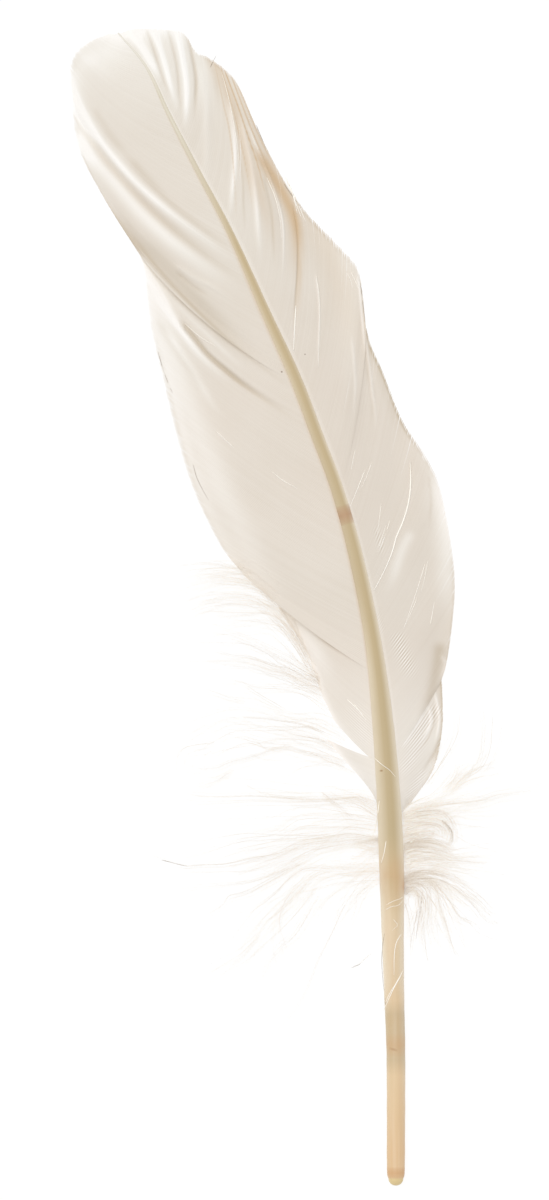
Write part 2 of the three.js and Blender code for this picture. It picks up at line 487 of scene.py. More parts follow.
def horn_marks(tree, colour, across, height):
    sets_in, fades_out = (rescale(tree, height, *heights) for heights in GREY_ZONE)
    colour = mix(tree, times(tree, sets_in, fades_out), colour, GREY, "MULTIPLY")
    ring = times(tree, tint_at(tree, height, *RING), 0.8)
    colour = mix(tree, ring, colour, RUST, "MULTIPLY")
    slanted = calc(tree, "ADD", height, times(tree, across, CRACK_SLANT))
    crack = times(tree, tint_at(tree, slanted, *CRACK), tint_at(tree, across, *CRACK_ACROSS))
    colour = tinted(tree, colour, crack, 0.5, (170, 124, 84))
    scar = times(tree, tint_at(tree, height, *SCAR), rescale(tree, across, *SCAR_ACROSS))
    colour = tinted(tree, colour, scar, 0.6, (204, 152, 104))
    colour = tinted(tree, colour, tint_at(tree, height, *BRUISE), 0.8, (187, 148, 116))
    colour = tinted(tree, colour, tint_at(tree, height, *RIM), 0.75, (212, 168, 122))
    nick = times(tree, tint_at(tree, height, *NICK), tint_at(tree, across, *NICK_ACROSS))
    colour = tinted(tree, colour, nick, 1, (160, 118, 70))
    return tinted(tree, colour, rescale(tree, height, *PLUG), 0.85, (226, 204, 150))


print("heights of ring, scar and bruise, mm:", RING[0], SCAR[0], BRUISE[0])

# %% Horn material


def horn_material():
    material, tree, shader = new_material("horn", roughness=0.42, specular=0.35)
    across = rescale(tree, read_attribute(tree, "across"), -1, 1)
    height = read_attribute(tree, "height")
    place = object_place(tree)
    fibres = noise_of(tree, place, 900, 3, (1, 0.045, 1))
    colour = horn_zones(tree, across, height)
    colour = horn_streaks(tree, colour, height, place, fibres)
    colour = horn_marks(tree, colour, across, height)
    tree.links.new(colour, shader.inputs["Base Color"])
    bump = add_node(tree, "ShaderNodeBump")
    bump.inputs["Strength"].default_value = 0.25
    bump.inputs["Distance"].default_value = 0.0002
    tree.links.new(fibres, bump.inputs["Height"])
    tree.links.new(bump.outputs["Normal"], shader.inputs["Normal"])
    return material


finish_piece(quill, horn_material(), "quill_horn", "quill_shaft")

# %% [markdown]
# ## How a web is laid out
#
# A web is a row of barbs, each leaving the shaft at a slant and bending towards the tip. A few barbs
# of each web are written down by their root and their end at the margin, and all the others are
# spaced evenly between those. Webs that split apart overlap a little at the split, as on the bird.

# %% The webs by their leading barbs
# [height of the root on the shaft, margin x, margin y], from the tip end down.
WEBS = {
    "left_web_upper": (-1, [
        [287.7, -71.6, 287.8],
        [279.7, -75.9, 286.1],
        [267.9, -79.7, 283.2],
        [253.4, -81.3, 279.0],
        [230.2, -80.9, 271.5],
        [219.9, -79.4, 259.7],
        [208.9, -72.5, 245.9],
        [201.2, -63.4, 231.5],
    ]),
    "left_web_middle": (-1, [
        [202.6, -64.0, 233.0],
        [198.7, -62.6, 227.5],
        [191.5, -62.1, 222.2],
        [182.4, -61.0, 213.5],
        [171.2, -58.4, 202.9],
        [159.9, -55.4, 189.9],
        [148.7, -50.7, 174.2],
        [138.7, -43.7, 159.7],
        [129.0, -37.9, 152.3],
    ]),
    "left_web_lower": (-1, [
        [130.0, -31.5, 147.5],
        [127.4, -29.7, 145.0],
        [121.2, -25.7, 138.7],
        [115.7, -22.0, 132.4],
        [110.5, -18.9, 123.7],
        [105.8, -15.6, 116.4],
    ]),
    "left_web_foot": (-1, [
        [106.8, -17.4, 111.6],
        [104.2, -14.6, 108.2],
        [101.0, -11.5, 104.7],
        [98.0, -8.2, 101.0],
        [95.0, -5.4, 97.6],
    ]),
    "right_web_upper": (1, [
        [287.7, -67.2, 288.6],
        [283.7, -64.1, 289.0],
        [279.7, -57.4, 288.8],
        [269.9, -53.0, 287.9],
        [261.4, -49.9, 283.2],
        [253.4, -47.2, 282.0],
        [237.4, -42.2, 278.4],
        [229.2, -39.4, 274.9],
        [221.2, -34.7, 264.2],
        [212.4, -27.7, 250.7],
        [201.7, -21.7, 242.4],
        [191.2, -13.4, 233.7],
        [181.2, -9.2, 227.9],
        [174.2, -7.3, 213.2],
    ]),
    "right_web_middle": (1, [
        [175.2, -7.4, 214.5],
        [172.7, -6.2, 209.9],
        [167.2, -3.7, 204.4],
        [158.2, 1.5, 191.4],
        [148.7, 7.3, 182.4],
        [142.4, 10.6, 175.7],
        [134.9, 13.3, 163.7],
        [125.9, 14.8, 150.9],
        [117.4, 14.1, 139.9],
        [110.7, 12.6, 129.9],
        [108.2, 11.2, 125.6],
    ]),
    "right_web_foot": (1, [
        [108.7, 11.4, 127.5],
        [106.4, 11.7, 122.4],
        [101.2, 11.6, 113.4],
        [96.9, 9.3, 103.7],
        [92.8, 4.0, 95.8],
    ]),
}
BARB_PITCH = 0.5
BARB_BOW = (0.05, 0.15)  # share of its length that a barb bows by, at the foot and at the tip
BOW_GROWS = (165, 240)  # between these heights
ROOT_DEPTH = 0.25  # how far a root reaches into the side of the shaft
ROOT_OUT = 0.1  # from the middle of the shaft at least, where it is thin
WEB_HOLLOW = 1.8  # how early the slope of a web levels out towards the margin
ROOT_HEIGHT = 0.3  # of a barb's middle over the middle of the shaft, at most
ROOT_SHARE = 0.25  # of the shaft's half width, where it is thin
MARGIN_HEIGHT = 0.34  # of a barb's middle over the surface


def spaced(rows):
    """Distance from the first leading barb to each of the others, half way along them."""
    rows = np.array(rows)
    at_root = np.abs(np.diff(rows[:, 0]))
    at_margin = np.hypot(np.diff(rows[:, 1]), np.diff(rows[:, 2]))
    return np.concatenate(([0], np.cumsum((at_root + at_margin) / 2)))


def barb_line(side, rows, place, share):
    """The middle line of the barbs at distance place along a web, at share of their length."""
    rows = np.array(rows)
    places = spaced(rows)
    root_y, margin_x, margin_y = (smooth_read(places, rows[:, i], place) for i in range(3))
    x, z, half_width, right_x, right_y = shaft_at(root_y)
    inset = np.maximum(half_width - ROOT_DEPTH, ROOT_OUT)
    root_x = x + side * right_x * inset
    root_y = root_y + side * right_y * inset
    pull = side * (BARB_BOW[0] + (BARB_BOW[1] - BARB_BOW[0]) * smooth_step(*BOW_GROWS, root_y))
    chord_x, chord_y = margin_x - root_x, margin_y - root_y
    bend_x = (root_x + margin_x) / 2 + chord_y * pull
    bend_y = (root_y + margin_y) / 2 - chord_x * pull
    start, bend, end = (1 - share) ** 2, 2 * share * (1 - share), share**2
    line_x = start * root_x + bend * bend_x + end * margin_x
    line_y = start * root_y + bend * bend_y + end * margin_y
    left = np.clip(1 - share, 0, 1)
    height_left = left**WEB_HOLLOW * (1 + (WEB_HOLLOW - 1) * (1 - left))
    root_z = z + np.minimum(ROOT_HEIGHT, ROOT_SHARE * half_width)
    line_z = (root_z - MARGIN_HEIGHT) * height_left + MARGIN_HEIGHT
    return line_x, line_y, line_z


for web_name, (side, rows) in WEBS.items():
    print(web_name, "holds", round(spaced(rows)[-1] / BARB_PITCH), "barbs")

# %% [markdown]
# ## Folds
#
# The vane has been handled: barbs have slid over each other in long folds that follow them, pale on
# the crest and dark in the groove. Painting them alone would leave the sheet flat from the side, so
# every fold is a line with a width, which shades the barbs near it and, where the fold stands out,
# lifts them too. The wider lines with no lift are soft changes of light and shade.

# %% Folds in the webs
# (shade from -1 dark to 1 pale, lift in mm, half width in mm, the line in mm), from margin to root
FOLDS = {
    "left_web_upper": [
        (0.9, 0.7, 1.15, [(-82.3, 276.2), (-80.4, 271.6), (-78.5, 268), (-74.6, 262), (-69.9, 256),
            (-64.5, 250), (-57.7, 244), (-49.8, 238), (-43.5, 233.3), (-37, 229)]),
        (0.25, 0, 1.8, [(-81.9, 276.2), (-79.4, 267), (-75.2, 260.3), (-69.8, 255.3), (-64, 250.3)]),
        (-0.55, -0.5, 1.1, [(-84, 272), (-81, 267.6), (-76.8, 262), (-72.3, 256), (-67.2, 250),
            (-61.6, 244), (-55, 238), (-47.5, 232), (-41, 227.5), (-34, 223)]),
        (-0.2, 0, 0.9, [(-76, 270), (-73.5, 266), (-71, 262), (-68.5, 259), (-66, 256)]),
        (-0.35, 0, 1.1, [(-68, 258), (-64.5, 254), (-61, 250), (-55.3, 244), (-49, 239), (-43, 234.5),
            (-38, 230)]),
        (0.75, 0.5, 2, [(-81, 265), (-78.2, 260), (-75, 256), (-69.7, 250), (-64.6, 244), (-58.5, 238),
            (-51, 232), (-44, 227), (-37, 222.5)]),
        (0.55, 0, 2.4, [(-83, 274), (-82, 268), (-80.5, 263), (-79, 259), (-77.5, 256), (-75, 252)]),
        (-0.7, 0, 2.2, [(-84.5, 272), (-83.5, 277), (-80.5, 281.5), (-77, 284.5), (-73, 286.8),
            (-69, 288)]),
        (-0.45, 0, 0.9, [(-80.6, 261.2), (-76.5, 251.2), (-71.5, 243.5), (-64.8, 234.3), (-62.3, 231.6)]),
        (-0.35, -0.3, 2.2, [(-72.3, 244.5), (-65.6, 236.2), (-59, 231), (-49, 220.3), (-40.6, 211.2),
            (-30.6, 201.2)]),
        (0.12, 0.3, 0.7, [(-55.6, 230.3), (-50.6, 226.6), (-45.6, 224.1), (-39.8, 219.9)]),
        (-0.15, -0.2, 0.5, [(-55.2, 228.3), (-50.6, 224.5), (-45.6, 221.2)]),
        (-0.4, 0, 0.5, [(-67.3, 239.1), (-59.8, 229.5), (-53.1, 222), (-46.5, 215.3), (-40.6, 209.9),
            (-32.3, 203.3), (-24.8, 197)]),
        (0.45, 0, 2.6, [(-82.3, 266.2), (-81.9, 277.8), (-79, 283.7), (-74, 287.4), (-67.3, 289.1),
            (-61.5, 289.5), (-59, 289.5)]),
        (0.4, 0, 6, [(-79, 278.7), (-74.8, 283.7), (-69.8, 286.2), (-64.8, 287.8), (-59, 289.5)]),
        (0.7, 0, 1.6, [(-83.5, 281.2), (-80.6, 271.2), (-77.3, 264.5), (-73.1, 258.7)]),
    ],
    "left_web_middle": [
        (0.9, 0.4, 1, [(-65.4, 234.6), (-63.4, 231.2), (-59.8, 223.7), (-56.4, 217.8), (-53.1, 212.8),
            (-49.8, 208.5), (-44.7, 203.3), (-39.5, 198.7)]),
        (-0.75, -0.6, 0.65, [(-54.4, 217), (-52.3, 214), (-50.2, 211.6), (-46.9, 207.4), (-42.3, 203.4),
            (-37.7, 199.7), (-31, 195.2), (-24.8, 191.2)]),
        (0.3, 0, 0.6, [(-56.5, 222), (-51.5, 216.8), (-46.5, 212), (-41.5, 207), (-35.6, 202)]),
        (-0.35, 0, 0.5, [(-67.3, 237.4), (-62.3, 229.9), (-57.3, 224.1), (-50.6, 218.3), (-44, 212.4),
            (-38.1, 207.8), (-29.8, 201.6), (-26.5, 198.7)]),
        (0.4, 0.2, 0.9, [(-58.1, 214.5), (-53.1, 207), (-49.6, 201.6), (-46.5, 196.2), (-42.3, 190.3)]),
        (-0.3, 0, 0.9, [(-60.6, 217.8), (-55.6, 209.5), (-51.5, 203.7), (-46.5, 197.8)]),
        (0.35, 0, 1.6, [(-64, 230.3), (-61.9, 222), (-60.6, 212), (-57.7, 202), (-55.6, 194.5),
            (-52.3, 183.7), (-46.5, 167.8), (-39.8, 155.3), (-34, 147)]),
        (0.5, 0, 3.6, [(-61, 234), (-59.8, 226), (-58.3, 217), (-55.7, 206), (-52.3, 196), (-48.7, 187),
            (-44.3, 175), (-39.5, 165), (-34.5, 154), (-30, 146), (-25, 137)]),
    ],
    "left_web_lower": [
        (-0.8, 0, 0.6, [(-31, 146.5), (-25, 142.2), (-20, 138.2), (-16, 135.2), (-11.7, 132.7),
            (-8, 130.3)]),
        (-0.5, 0, 0.35, [(-31, 146), (-25.7, 139.2), (-23.4, 134.4), (-21.7, 131.4)]),
        (0.6, 0, 2.6, [(-35, 154), (-30, 146.5), (-26, 141), (-22.5, 137), (-19.5, 132), (-16.5, 126),
            (-13, 119)]),
        (0.5, 0, 2.4, [(-23.4, 133.7), (-21.4, 126.2), (-18.4, 119.2), (-15.4, 114.2), (-11.9, 109.7),
            (-6.9, 106.2)]),
    ],
    "left_web_foot": [
        (0.9, 0.2, 0.8, [(-21.9, 116.2), (-18.4, 113.2), (-13.4, 110.7), (-7.9, 108.2), (-4.9, 107.2)]),
        (0.8, 0, 2.6, [(-21.9, 114.2), (-17.4, 109.2), (-13.4, 104.2), (-9.4, 100.2), (-4.4, 95.7)]),
    ],
    "right_web_upper": [
        (1, 0.3, 1, [(-66.9, 289.9), (-63.5, 284.5), (-61, 280.3), (-58.1, 274.9)]),
        (-0.5, -0.2, 0.35, [(-63.1, 290.8), (-61, 285.3), (-59.4, 280.3), (-57.7, 275.3), (-55.2, 269.5)]),
        (0.95, 0.3, 0.7, [(-61, 290.8), (-59, 284.5), (-57.5, 279.5), (-56, 273.7), (-54, 267)]),
        (-0.45, -0.2, 0.35, [(-57.5, 290.8), (-55.6, 283.7), (-54.6, 278.7), (-54, 272), (-53.3, 265.3)]),
        (1.1, 0.35, 0.75, [(-55.1, 290.8), (-53.3, 282), (-52.3, 275.3), (-52.3, 268.7), (-52.6, 262)]),
        (-0.65, -0.3, 0.45, [(-53.1, 290.8), (-51.2, 283.7), (-50, 277), (-50, 271.2), (-50.3, 263.7)]),
        (0.2, 0.3, 1.1, [(-49, 281.2), (-47.5, 271.2), (-47.1, 262.8), (-47.3, 255.3), (-47.6, 247.8)]),
        (-0.3, 0, 0.9, [(-48.5, 284.5), (-46, 279.5), (-44.8, 274.5), (-44.4, 266.2)]),
        (0.9, 0.4, 0.65, [(-42.1, 272.8), (-40.5, 263.7), (-40.1, 256.2), (-40.8, 247.8), (-41.5, 239.5)]),
        (0.85, 0.4, 0.7, [(-39.4, 269.5), (-37.3, 260.3), (-35.9, 253.7), (-34.8, 245.3), (-34.2, 237),
            (-33.8, 229.5)]),
        (0.7, 0.3, 0.28, [(-38.1, 267), (-34, 257.8), (-30.6, 249.5), (-28.3, 241.2), (-28, 232.8),
            (-28.5, 224.5)]),
        (-0.35, 0, 0.3, [(-39.8, 261.2), (-38.3, 252), (-38, 244.5), (-37.5, 236.2)]),
        (-0.3, -0.1, 0.4, [(-33.5, 253.7), (-31.3, 244.5), (-30.6, 237), (-30.1, 227.8)]),
        (-0.65, -0.2, 0.25, [(-26, 247), (-24.6, 237.8), (-24.5, 229.5), (-25.1, 220.3), (-25.8, 209.5)]),
        (-0.8, 0, 0.28, [(-8.6, 230), (-8.2, 225.6), (-7.8, 218), (-7.3, 212.1), (-7, 206)]),
        (0.7, 0.2, 0.3, [(-9.8, 228), (-9, 223.7), (-8.4, 217), (-7.9, 211.2), (-7.6, 206)]),
        (0.4, 0, 3.2, [(-21, 248), (-16, 240), (-12, 232), (-10.5, 223), (-10.3, 213), (-10.4, 203),
            (-10.8, 195)]),
        (0.35, 0.15, 0.4, [(-11.1, 213.1), (-10.3, 204.9), (-10.1, 198.7), (-10.7, 189.9)]),
        (0.4, 0.2, 0.25, [(-20.2, 228.7), (-19.1, 219.9), (-19.2, 211.2), (-19.6, 201.8)]),
        (1, 0, 4, [(-42.3, 292), (-49, 291.6), (-56.5, 291.6), (-64, 290.6), (-69, 289.6), (-76, 288),
            (-84, 286)]),
    ],
    "right_web_middle": [
        (-0.3, 0, 0.7, [(-8, 215.7), (-7, 209.9), (-6.7, 202.9), (-5.7, 196.2), (-6.5, 186.7)]),
        (0.6, 0.2, 0.35, [(-7.9, 217), (-7.4, 211), (-6.6, 205), (-5.9, 199), (-5.2, 194), (-4.6, 187)]),
        (-0.15, 0, 1, [(-6.8, 213), (-4.6, 204), (-2.2, 197), (0.5, 190), (2.5, 184)]),
        (0.45, 0, 2, [(2, 194), (6, 186.2), (10, 177.7), (12.5, 169.2), (14.3, 158.7), (14.9, 151)]),
        (0.5, 0, 2.6, [(9, 180), (11, 170), (12.6, 160), (12.8, 153), (12.8, 146), (12.5, 140)]),
        (0.5, 0, 1.3, [(4.4, 164), (2.6, 161), (1.4, 158.5), (0.4, 155.5), (-0.8, 151.5), (-2.6, 147)]),
        (-0.3, 0, 0.4, [(8.1, 178.2), (8.8, 171.2), (8.3, 162.7)]),
        (-0.6, -0.15, 1.6, [(11.4, 136.5), (10.8, 132.5), (9.9, 127.5), (8.8, 122.5), (7.4, 119),
            (5.4, 115.7)]),
        (-0.2, 0, 0.3, [(13.6, 131.2), (12.1, 127.2), (11.1, 125.2), (9.6, 122.2), (8.1, 119.2),
            (5.6, 114.7)]),
        (0.35, 0.2, 0.5, [(11.1, 132.7), (12.6, 130.2), (12.3, 128.7), (11.3, 125.7)]),
    ],
    "right_web_foot": [
        (0.7, 0.1, 0.35, [(8.2, 120), (7, 118.7), (5.7, 115.9), (2.9, 111.5), (1, 109)]),
        (0.75, 0.2, 0.35, [(9.6, 124.2), (10.6, 119.2), (10.9, 116.2), (10.4, 112.7), (9.6, 109.7)]),
        (-0.55, 0, 0.22, [(9.2, 121.2), (9.6, 116.2), (8.8, 113.2), (7.1, 110.2), (4.1, 106.7)]),
        (0.6, 0.2, 0.35, [(8.3, 119.7), (8.9, 116.2), (8.1, 113.7), (6.1, 110.2)]),
        (-0.5, -0.2, 0.5, [(11.6, 112.2), (10.1, 108.7), (8.6, 106.2), (6.1, 102.2)]),
        (0.35, 0, 1.2, [(10.6, 107.2), (8.6, 103.2), (5.6, 98.7), (2.1, 94.7)]),
    ],
}
LINE_POINTS = 20
OUTER_FADE = (0, 0.15)  # a fold fades in and out over these shares of its line
INNER_FADE = (0.6, 1)


def smooth_line(points, count):
    """Evenly read points on a smooth line through a few given ones."""
    points = np.array(points, float)
    keys = np.arange(len(points))
    at = np.linspace(0, len(points) - 1, count)
    return np.stack([smooth_read(keys, points[:, i], at) for i in range(points.shape[1])], axis=1)


def nearness(x, y, points, half_width):
    """1 on a line, falling off smoothly with distance, and fading out at both ends."""
    line = smooth_line(points, LINE_POINTS)
    best = np.full(x.shape, np.inf)
    share = np.zeros(x.shape)
    for i, (a, b) in enumerate(zip(line[:-1], line[1:])):
        step = b - a
        t = np.clip(((x - a[0]) * step[0] + (y - a[1]) * step[1]) / (step @ step), 0, 1)
        gap = np.hypot(x - a[0] - t * step[0], y - a[1] - t * step[1])
        closer = gap < best
        best = np.where(closer, gap, best)
        share = np.where(closer, (i + t) / (LINE_POINTS - 1), share)
    beside = np.exp(-((best / half_width) ** 2))
    return beside * (1 - smooth_step(*INNER_FADE, share)) * smooth_step(*OUTER_FADE, share)


print("folds:", {name: len(folds) for name, folds in FOLDS.items()})

# %% [markdown]
# ## Wear in the webs
#
# Near the tip on the right, a strip of the web has rolled over itself into long brown strands. At
# the margin some barb ends are dark, like a thin rim. Further down, barbs have come unhooked, so
# that each one shows by itself, with a painted glint on every other one and painted shade between,
# and in a few places two neighbours have parted. A line with a width says where each of these is,
# as for the folds, and a split is told by its root.

# %% Rolled strip, rims, open barbs and splits
# (strength, half width in mm, the line in mm): brown strands, and the warm tint round them
ROLLED_STRIP = [
    (0.55, 0.16, [(-46.6, 284.5), (-45.1, 279.5), (-43.1, 270.3), (-41.6, 263.7), (-40.6, 255.3),
        (-40, 246.2), (-39.6, 237.8)]),
    (0.75, 0.16, [(-45.3, 284.1), (-43.6, 278.7), (-41.9, 273.3), (-39.8, 265.3), (-37.8, 256.2),
        (-36.3, 247.8), (-35.3, 239.5)]),
    (0.9, 0.22, [(-44, 282.4), (-42.3, 277.4), (-39.4, 269.5), (-36.9, 262), (-34.6, 255.3),
        (-32.7, 247.8), (-31.5, 241.2)]),
    (0.75, 0.22, [(-42.3, 280.3), (-39.8, 273.7), (-37.3, 267), (-34.4, 259.9), (-31.6, 253.7),
        (-29.4, 247), (-28.1, 241.2)]),
    (0.6, 0.25, [(-40.6, 277.8), (-38.3, 272), (-35.2, 264.5), (-32.1, 257.8), (-29.4, 252.4),
        (-26.5, 244.5)]),
    (0.25, 1.4, [(-42.3, 282), (-38.5, 272), (-34.8, 262.8), (-30.6, 253.7), (-27.3, 246.2),
        (-25.6, 239.5)]),
    (0.82, 1.7, [(-37, 262), (-32.7, 255.3), (-29.6, 250.3), (-27.3, 246.2), (-25.5, 242), (-24.6, 237),
        (-24.4, 230), (-24.5, 222)]),
    (0.42, 2, [(-48, 290), (-45.8, 283.5), (-43, 276), (-40.3, 268), (-37.5, 260.5), (-36.2, 254),
        (-34, 247), (-31, 238), (-29, 228)]),
    (0.42, 0.75, [(-30.6, 252), (-27.3, 246.2), (-25.3, 241.2), (-24.3, 234.5), (-24, 227.8),
        (-24.6, 219.5), (-25.6, 212.8)]),
    (0.2, 5, [(-29, 262), (-22, 245), (-15, 231), (-10, 217), (-6, 205), (0, 190)]),
]
# (shade, half width, the line): thin dark rims, which only the tips of the barbs take on
RIMS = {
    "left_web_upper": [
        (-0.4, 1.2, [(-82.5, 274), (-80.2, 263.7), (-77.3, 253.7), (-71.5, 244.5), (-64.8, 234.5),
            (-59, 225), (-52, 214)]),
    ],
    "left_web_middle": [
        (-0.45, 1.5, [(-61.5, 214), (-59, 205.3), (-54, 190), (-47.3, 172), (-43, 162), (-40, 156)]),
    ],
    "right_web_upper": [
        (-0.55, 1.5, [(-54, 294), (-46, 282), (-40, 273), (-35, 263), (-30, 254), (-26, 246)]),
        (-0.6, 1.5, [(-30, 256), (-25, 248), (-20, 240.5), (-15, 233), (-11, 227), (-7, 220)]),
    ],
    "right_web_middle": [
        (-1, 1.3, [(-9, 218), (-7.2, 211.2), (-4.9, 206), (-2.4, 200.5), (0.7, 192.4), (3.6, 186.2),
            (8, 178), (12, 168)]),
        (-0.55, 1.2, [(14, 160), (14.9, 151), (14.5, 142), (13.6, 135), (12.4, 129), (9, 120), (6, 113)]),
    ],
    "right_web_foot": [
        (-0.7, 1.2, [(11, 131), (11.5, 125), (11.8, 119), (11.4, 112), (9.8, 105), (6, 98), (1, 92)]),
    ],
}
# (strength, half width, the line): where the barbs are unhooked and each one shows, with painted glints
# and shade in turn
OPEN_BARBS = {
    "right_web_middle": [
        (0.35, 0.8, [(-4.9, 143.5), (-4.3, 141), (-3.6, 138.7), (-3.2, 137)]),
        (0.6, 0.8, [(-5, 165), (-4.4, 162), (-3.6, 159), (-3, 157)]),
        (0.9, 1.7, [(0.3, 138.7), (0.7, 136.2), (1.5, 133.4), (2.6, 130.6), (3.9, 128.1), (4.8, 125.9)]),
    ],
    "right_web_foot": [
        (0.75, 1.7, [(11.1, 120.6), (9.5, 118.1), (7.3, 115.6), (4.5, 113.1), (2, 110.6), (0.7, 108.7)]),
        (0.55, 1.7, [(7.3, 113.7), (5.4, 109.9), (3.9, 106.8), (2.3, 103.7), (1.4, 101.8)]),
        (0.5, 1.1, [(7.3, 104.3), (5.7, 101.5), (3.9, 98.4), (2, 95.6)]),
    ],
    "left_web_lower": [(0.35, 2.5, [(-11.4, 120.6), (-9.6, 116.8), (-7.7, 112.4), (-6.5, 108.1)])],
}
# (height of the root on the shaft, from share, to share, width in mm): real gaps between two barbs
SPLITS = {
    "right_web_middle": [(152, 0.1, 0.45, 0.15)],
    "right_web_upper": [(181, 0.12, 0.6, 0.14), (238, 0.15, 0.8, 0.2)],
}

print("strands of the rolled strip:", len(ROLLED_STRIP))

# %% [markdown]
# ## The barbs
#
# A barb is a thin blade, ridged along its top and sharp at both sides, and it lies close against its
# neighbours. A plain sheet with a bump map would give the lines but not the notched margin, the
# splits or the free tips. So every barb is its own four-sided rod, a little wider than the space it
# has. Its end is a matter of chance: tips differ in length and stand apart near the margin. At the
# clefts, the last barbs of the upper web rise over the first ones of the web below.
#
# The shade of a barb is stored with its corners. It comes from the folds, from chance, and from
# the margin and the two ends of the vane, which are paler or darker than the middle. Most of it is
# painted light and shade: the folds, the paler margin and ends, the ridge and flanks of each barb,
# the glints of open barbs and the lighter roots on the right.

# %% Shape of the barbs
BARB_RINGS = 40
RIDGE_HEIGHT = 0.03
KEEL_DEPTH = 0.05
BARB_OVERLAP = 1.12
LENGTH_SPREAD = 0.012  # share of a barb's length that chance adds or takes
LENGTH_WAVE = 0.008  # share that comes and goes along the margin
TIP_SCATTER = {  # how much of both each web has
    "left_web_upper": 0.3,
    "left_web_middle": 0.15,
    "left_web_lower": 0.8,
    "left_web_foot": 1.6,
    "right_web_upper": 0.2,
    "right_web_middle": 0.05,
    "right_web_foot": 0.2,
}
TIP_NARROWING = 0.7  # share of its width that a barb loses over the last few hundredths
TIP_DRIFT = 0.05  # sideways by chance, in mm
SPLIT_REACH = 2  # how far from a split the barbs still give way, in mm
LIFTED_EDGES = {  # height in mm of the overlapping edge at the lower end of a web
    "left_web_upper": 1.1,
    "left_web_middle": 0.9,
    "right_web_upper": 0.35,
    "right_web_middle": 0.3,
}
EDGE_WIDTH = 7  # of the part of a web that is lifted, in mm
WEB_WAVE = 0.12  # height of the slow waves in a web, in mm
BLADE_THINNING = 0.6  # share of ridge and keel that is gone at the tip
LOW_WATER = 0.09  # no corner comes lower than this over the surface
TIP_KEEL = 0.04  # but for the keel, by this much


def part_at_splits(name, rows, place, middle, share):
    """Moves barbs apart on the two sides of each real split."""
    places = np.linspace(0, spaced(rows)[-1], 200)
    root_heights = smooth_read(spaced(rows), np.array(rows)[:, 0], places)
    for root_height, start, end, width in SPLITS.get(name, []):
        split = np.interp(-root_height, -root_heights, places)
        widest = (start + end) / 2
        opened = smooth_step(start, widest, share) * (1 - smooth_step(widest, end, share))
        gap = width / 2 * opened
        aside = middle - split
        place = place + np.sign(aside) * gap * np.exp(-((aside / SPLIT_REACH) ** 2))
    return place


def barb_blades(name, across, share):
    """Number, distance along the web and share of the full length, for the corners of each barb."""
    rows = WEBS[name][1]
    length = spaced(rows)[-1]
    count = round(length / BARB_PITCH)
    number = np.arange(count)[:, None]
    scatter = TIP_SCATTER[name]
    middle = (number + 0.5) * length / count
    half = length / count / 2
    by_chance = rng.normal(0, LENGTH_SPREAD * scatter, (count, 1))
    stretch = 1 + by_chance + LENGTH_WAVE * scatter * np.sin(number * 0.9)
    narrow_from = 1 - rng.uniform(0.01, 0.05, (count, 1))
    narrowing = 1 - TIP_NARROWING * smooth_step(narrow_from, 1.0, share)
    blade_side = np.sign(across) * (np.abs(across) > 0.5)
    place = middle + blade_side * half * BARB_OVERLAP * narrowing
    place = place + rng.normal(0, TIP_DRIFT, (count, 1)) * share**3
    return number, part_at_splits(name, rows, place, middle, share), share * stretch


def barb_heights(name, z, place, up, share):
    """Adds the lifted edge, slow waves, ridge and keel to the height of a web."""
    length = spaced(WEBS[name][1])[-1]
    edge = smooth_step(length - EDGE_WIDTH, length, place) * smooth_step(0, 0.5, share)
    z = z + LIFTED_EDGES.get(name, 0) * edge
    z = z + WEB_WAVE * np.sin(place * 0.31 + share * 5) * share
    blade = np.where(up > 0.5, RIDGE_HEIGHT, np.where(up < -0.5, -KEEL_DEPTH, 0.0))
    z = z + blade * (1 - BLADE_THINNING * share)
    return np.maximum(z, LOW_WATER + RIDGE_HEIGHT * (up > 0.5) - TIP_KEEL * (up < -0.5))


print("webs with a lifted edge:", ", ".join(LIFTED_EDGES))

# %% Shade of the barbs
MARGIN_SHADES = {  # of the outer quarter of a web, 0.25 where nothing is said; the paleness is painted light through the thin margin
    "right_web_upper": 0.05,
    "right_web_middle": -0.05,
    "right_web_foot": -0.5,
}
MARGIN_FROM = 0.75  # share of a barb's length
# painted light on the ridge of each barb, and painted shade on its flanks
RIDGE_PAINTED_LIGHT = 0.03
FLANK_PAINTED_SHADE = -0.05
CHANCE_SHADE = 0.022
OPEN_GLINTS = (0.8, -0.6)  # painted glint of every other open barb, and painted shade of those between
RIM_SHARES = (0.94, 0.995)  # of a barb's length, between which a rim sets in
TIP_PALE = (0.35, 260, 287)  # how much paler, between which heights: painted light, where fewer layers let light through
# the foot of the vane is paler too: painted light, where fewer layers let light through
FOOT_PALE = (0.45, 108, 140)
RIGHT_ROOTS = (0.01, 0.05)  # shares of a barb's length, over which its root blends in
# painted light and warmth at the right roots, against the shadow that the shaft casts on the right web
RIGHT_ROOT_PAINTED_LIGHT = 0.4
RIGHT_ROOT_PAINTED_WARMTH = 0.05
LEFT_ROOTS = (0.004, 0.02)
LEFT_ROOT_BROWN = 0.4


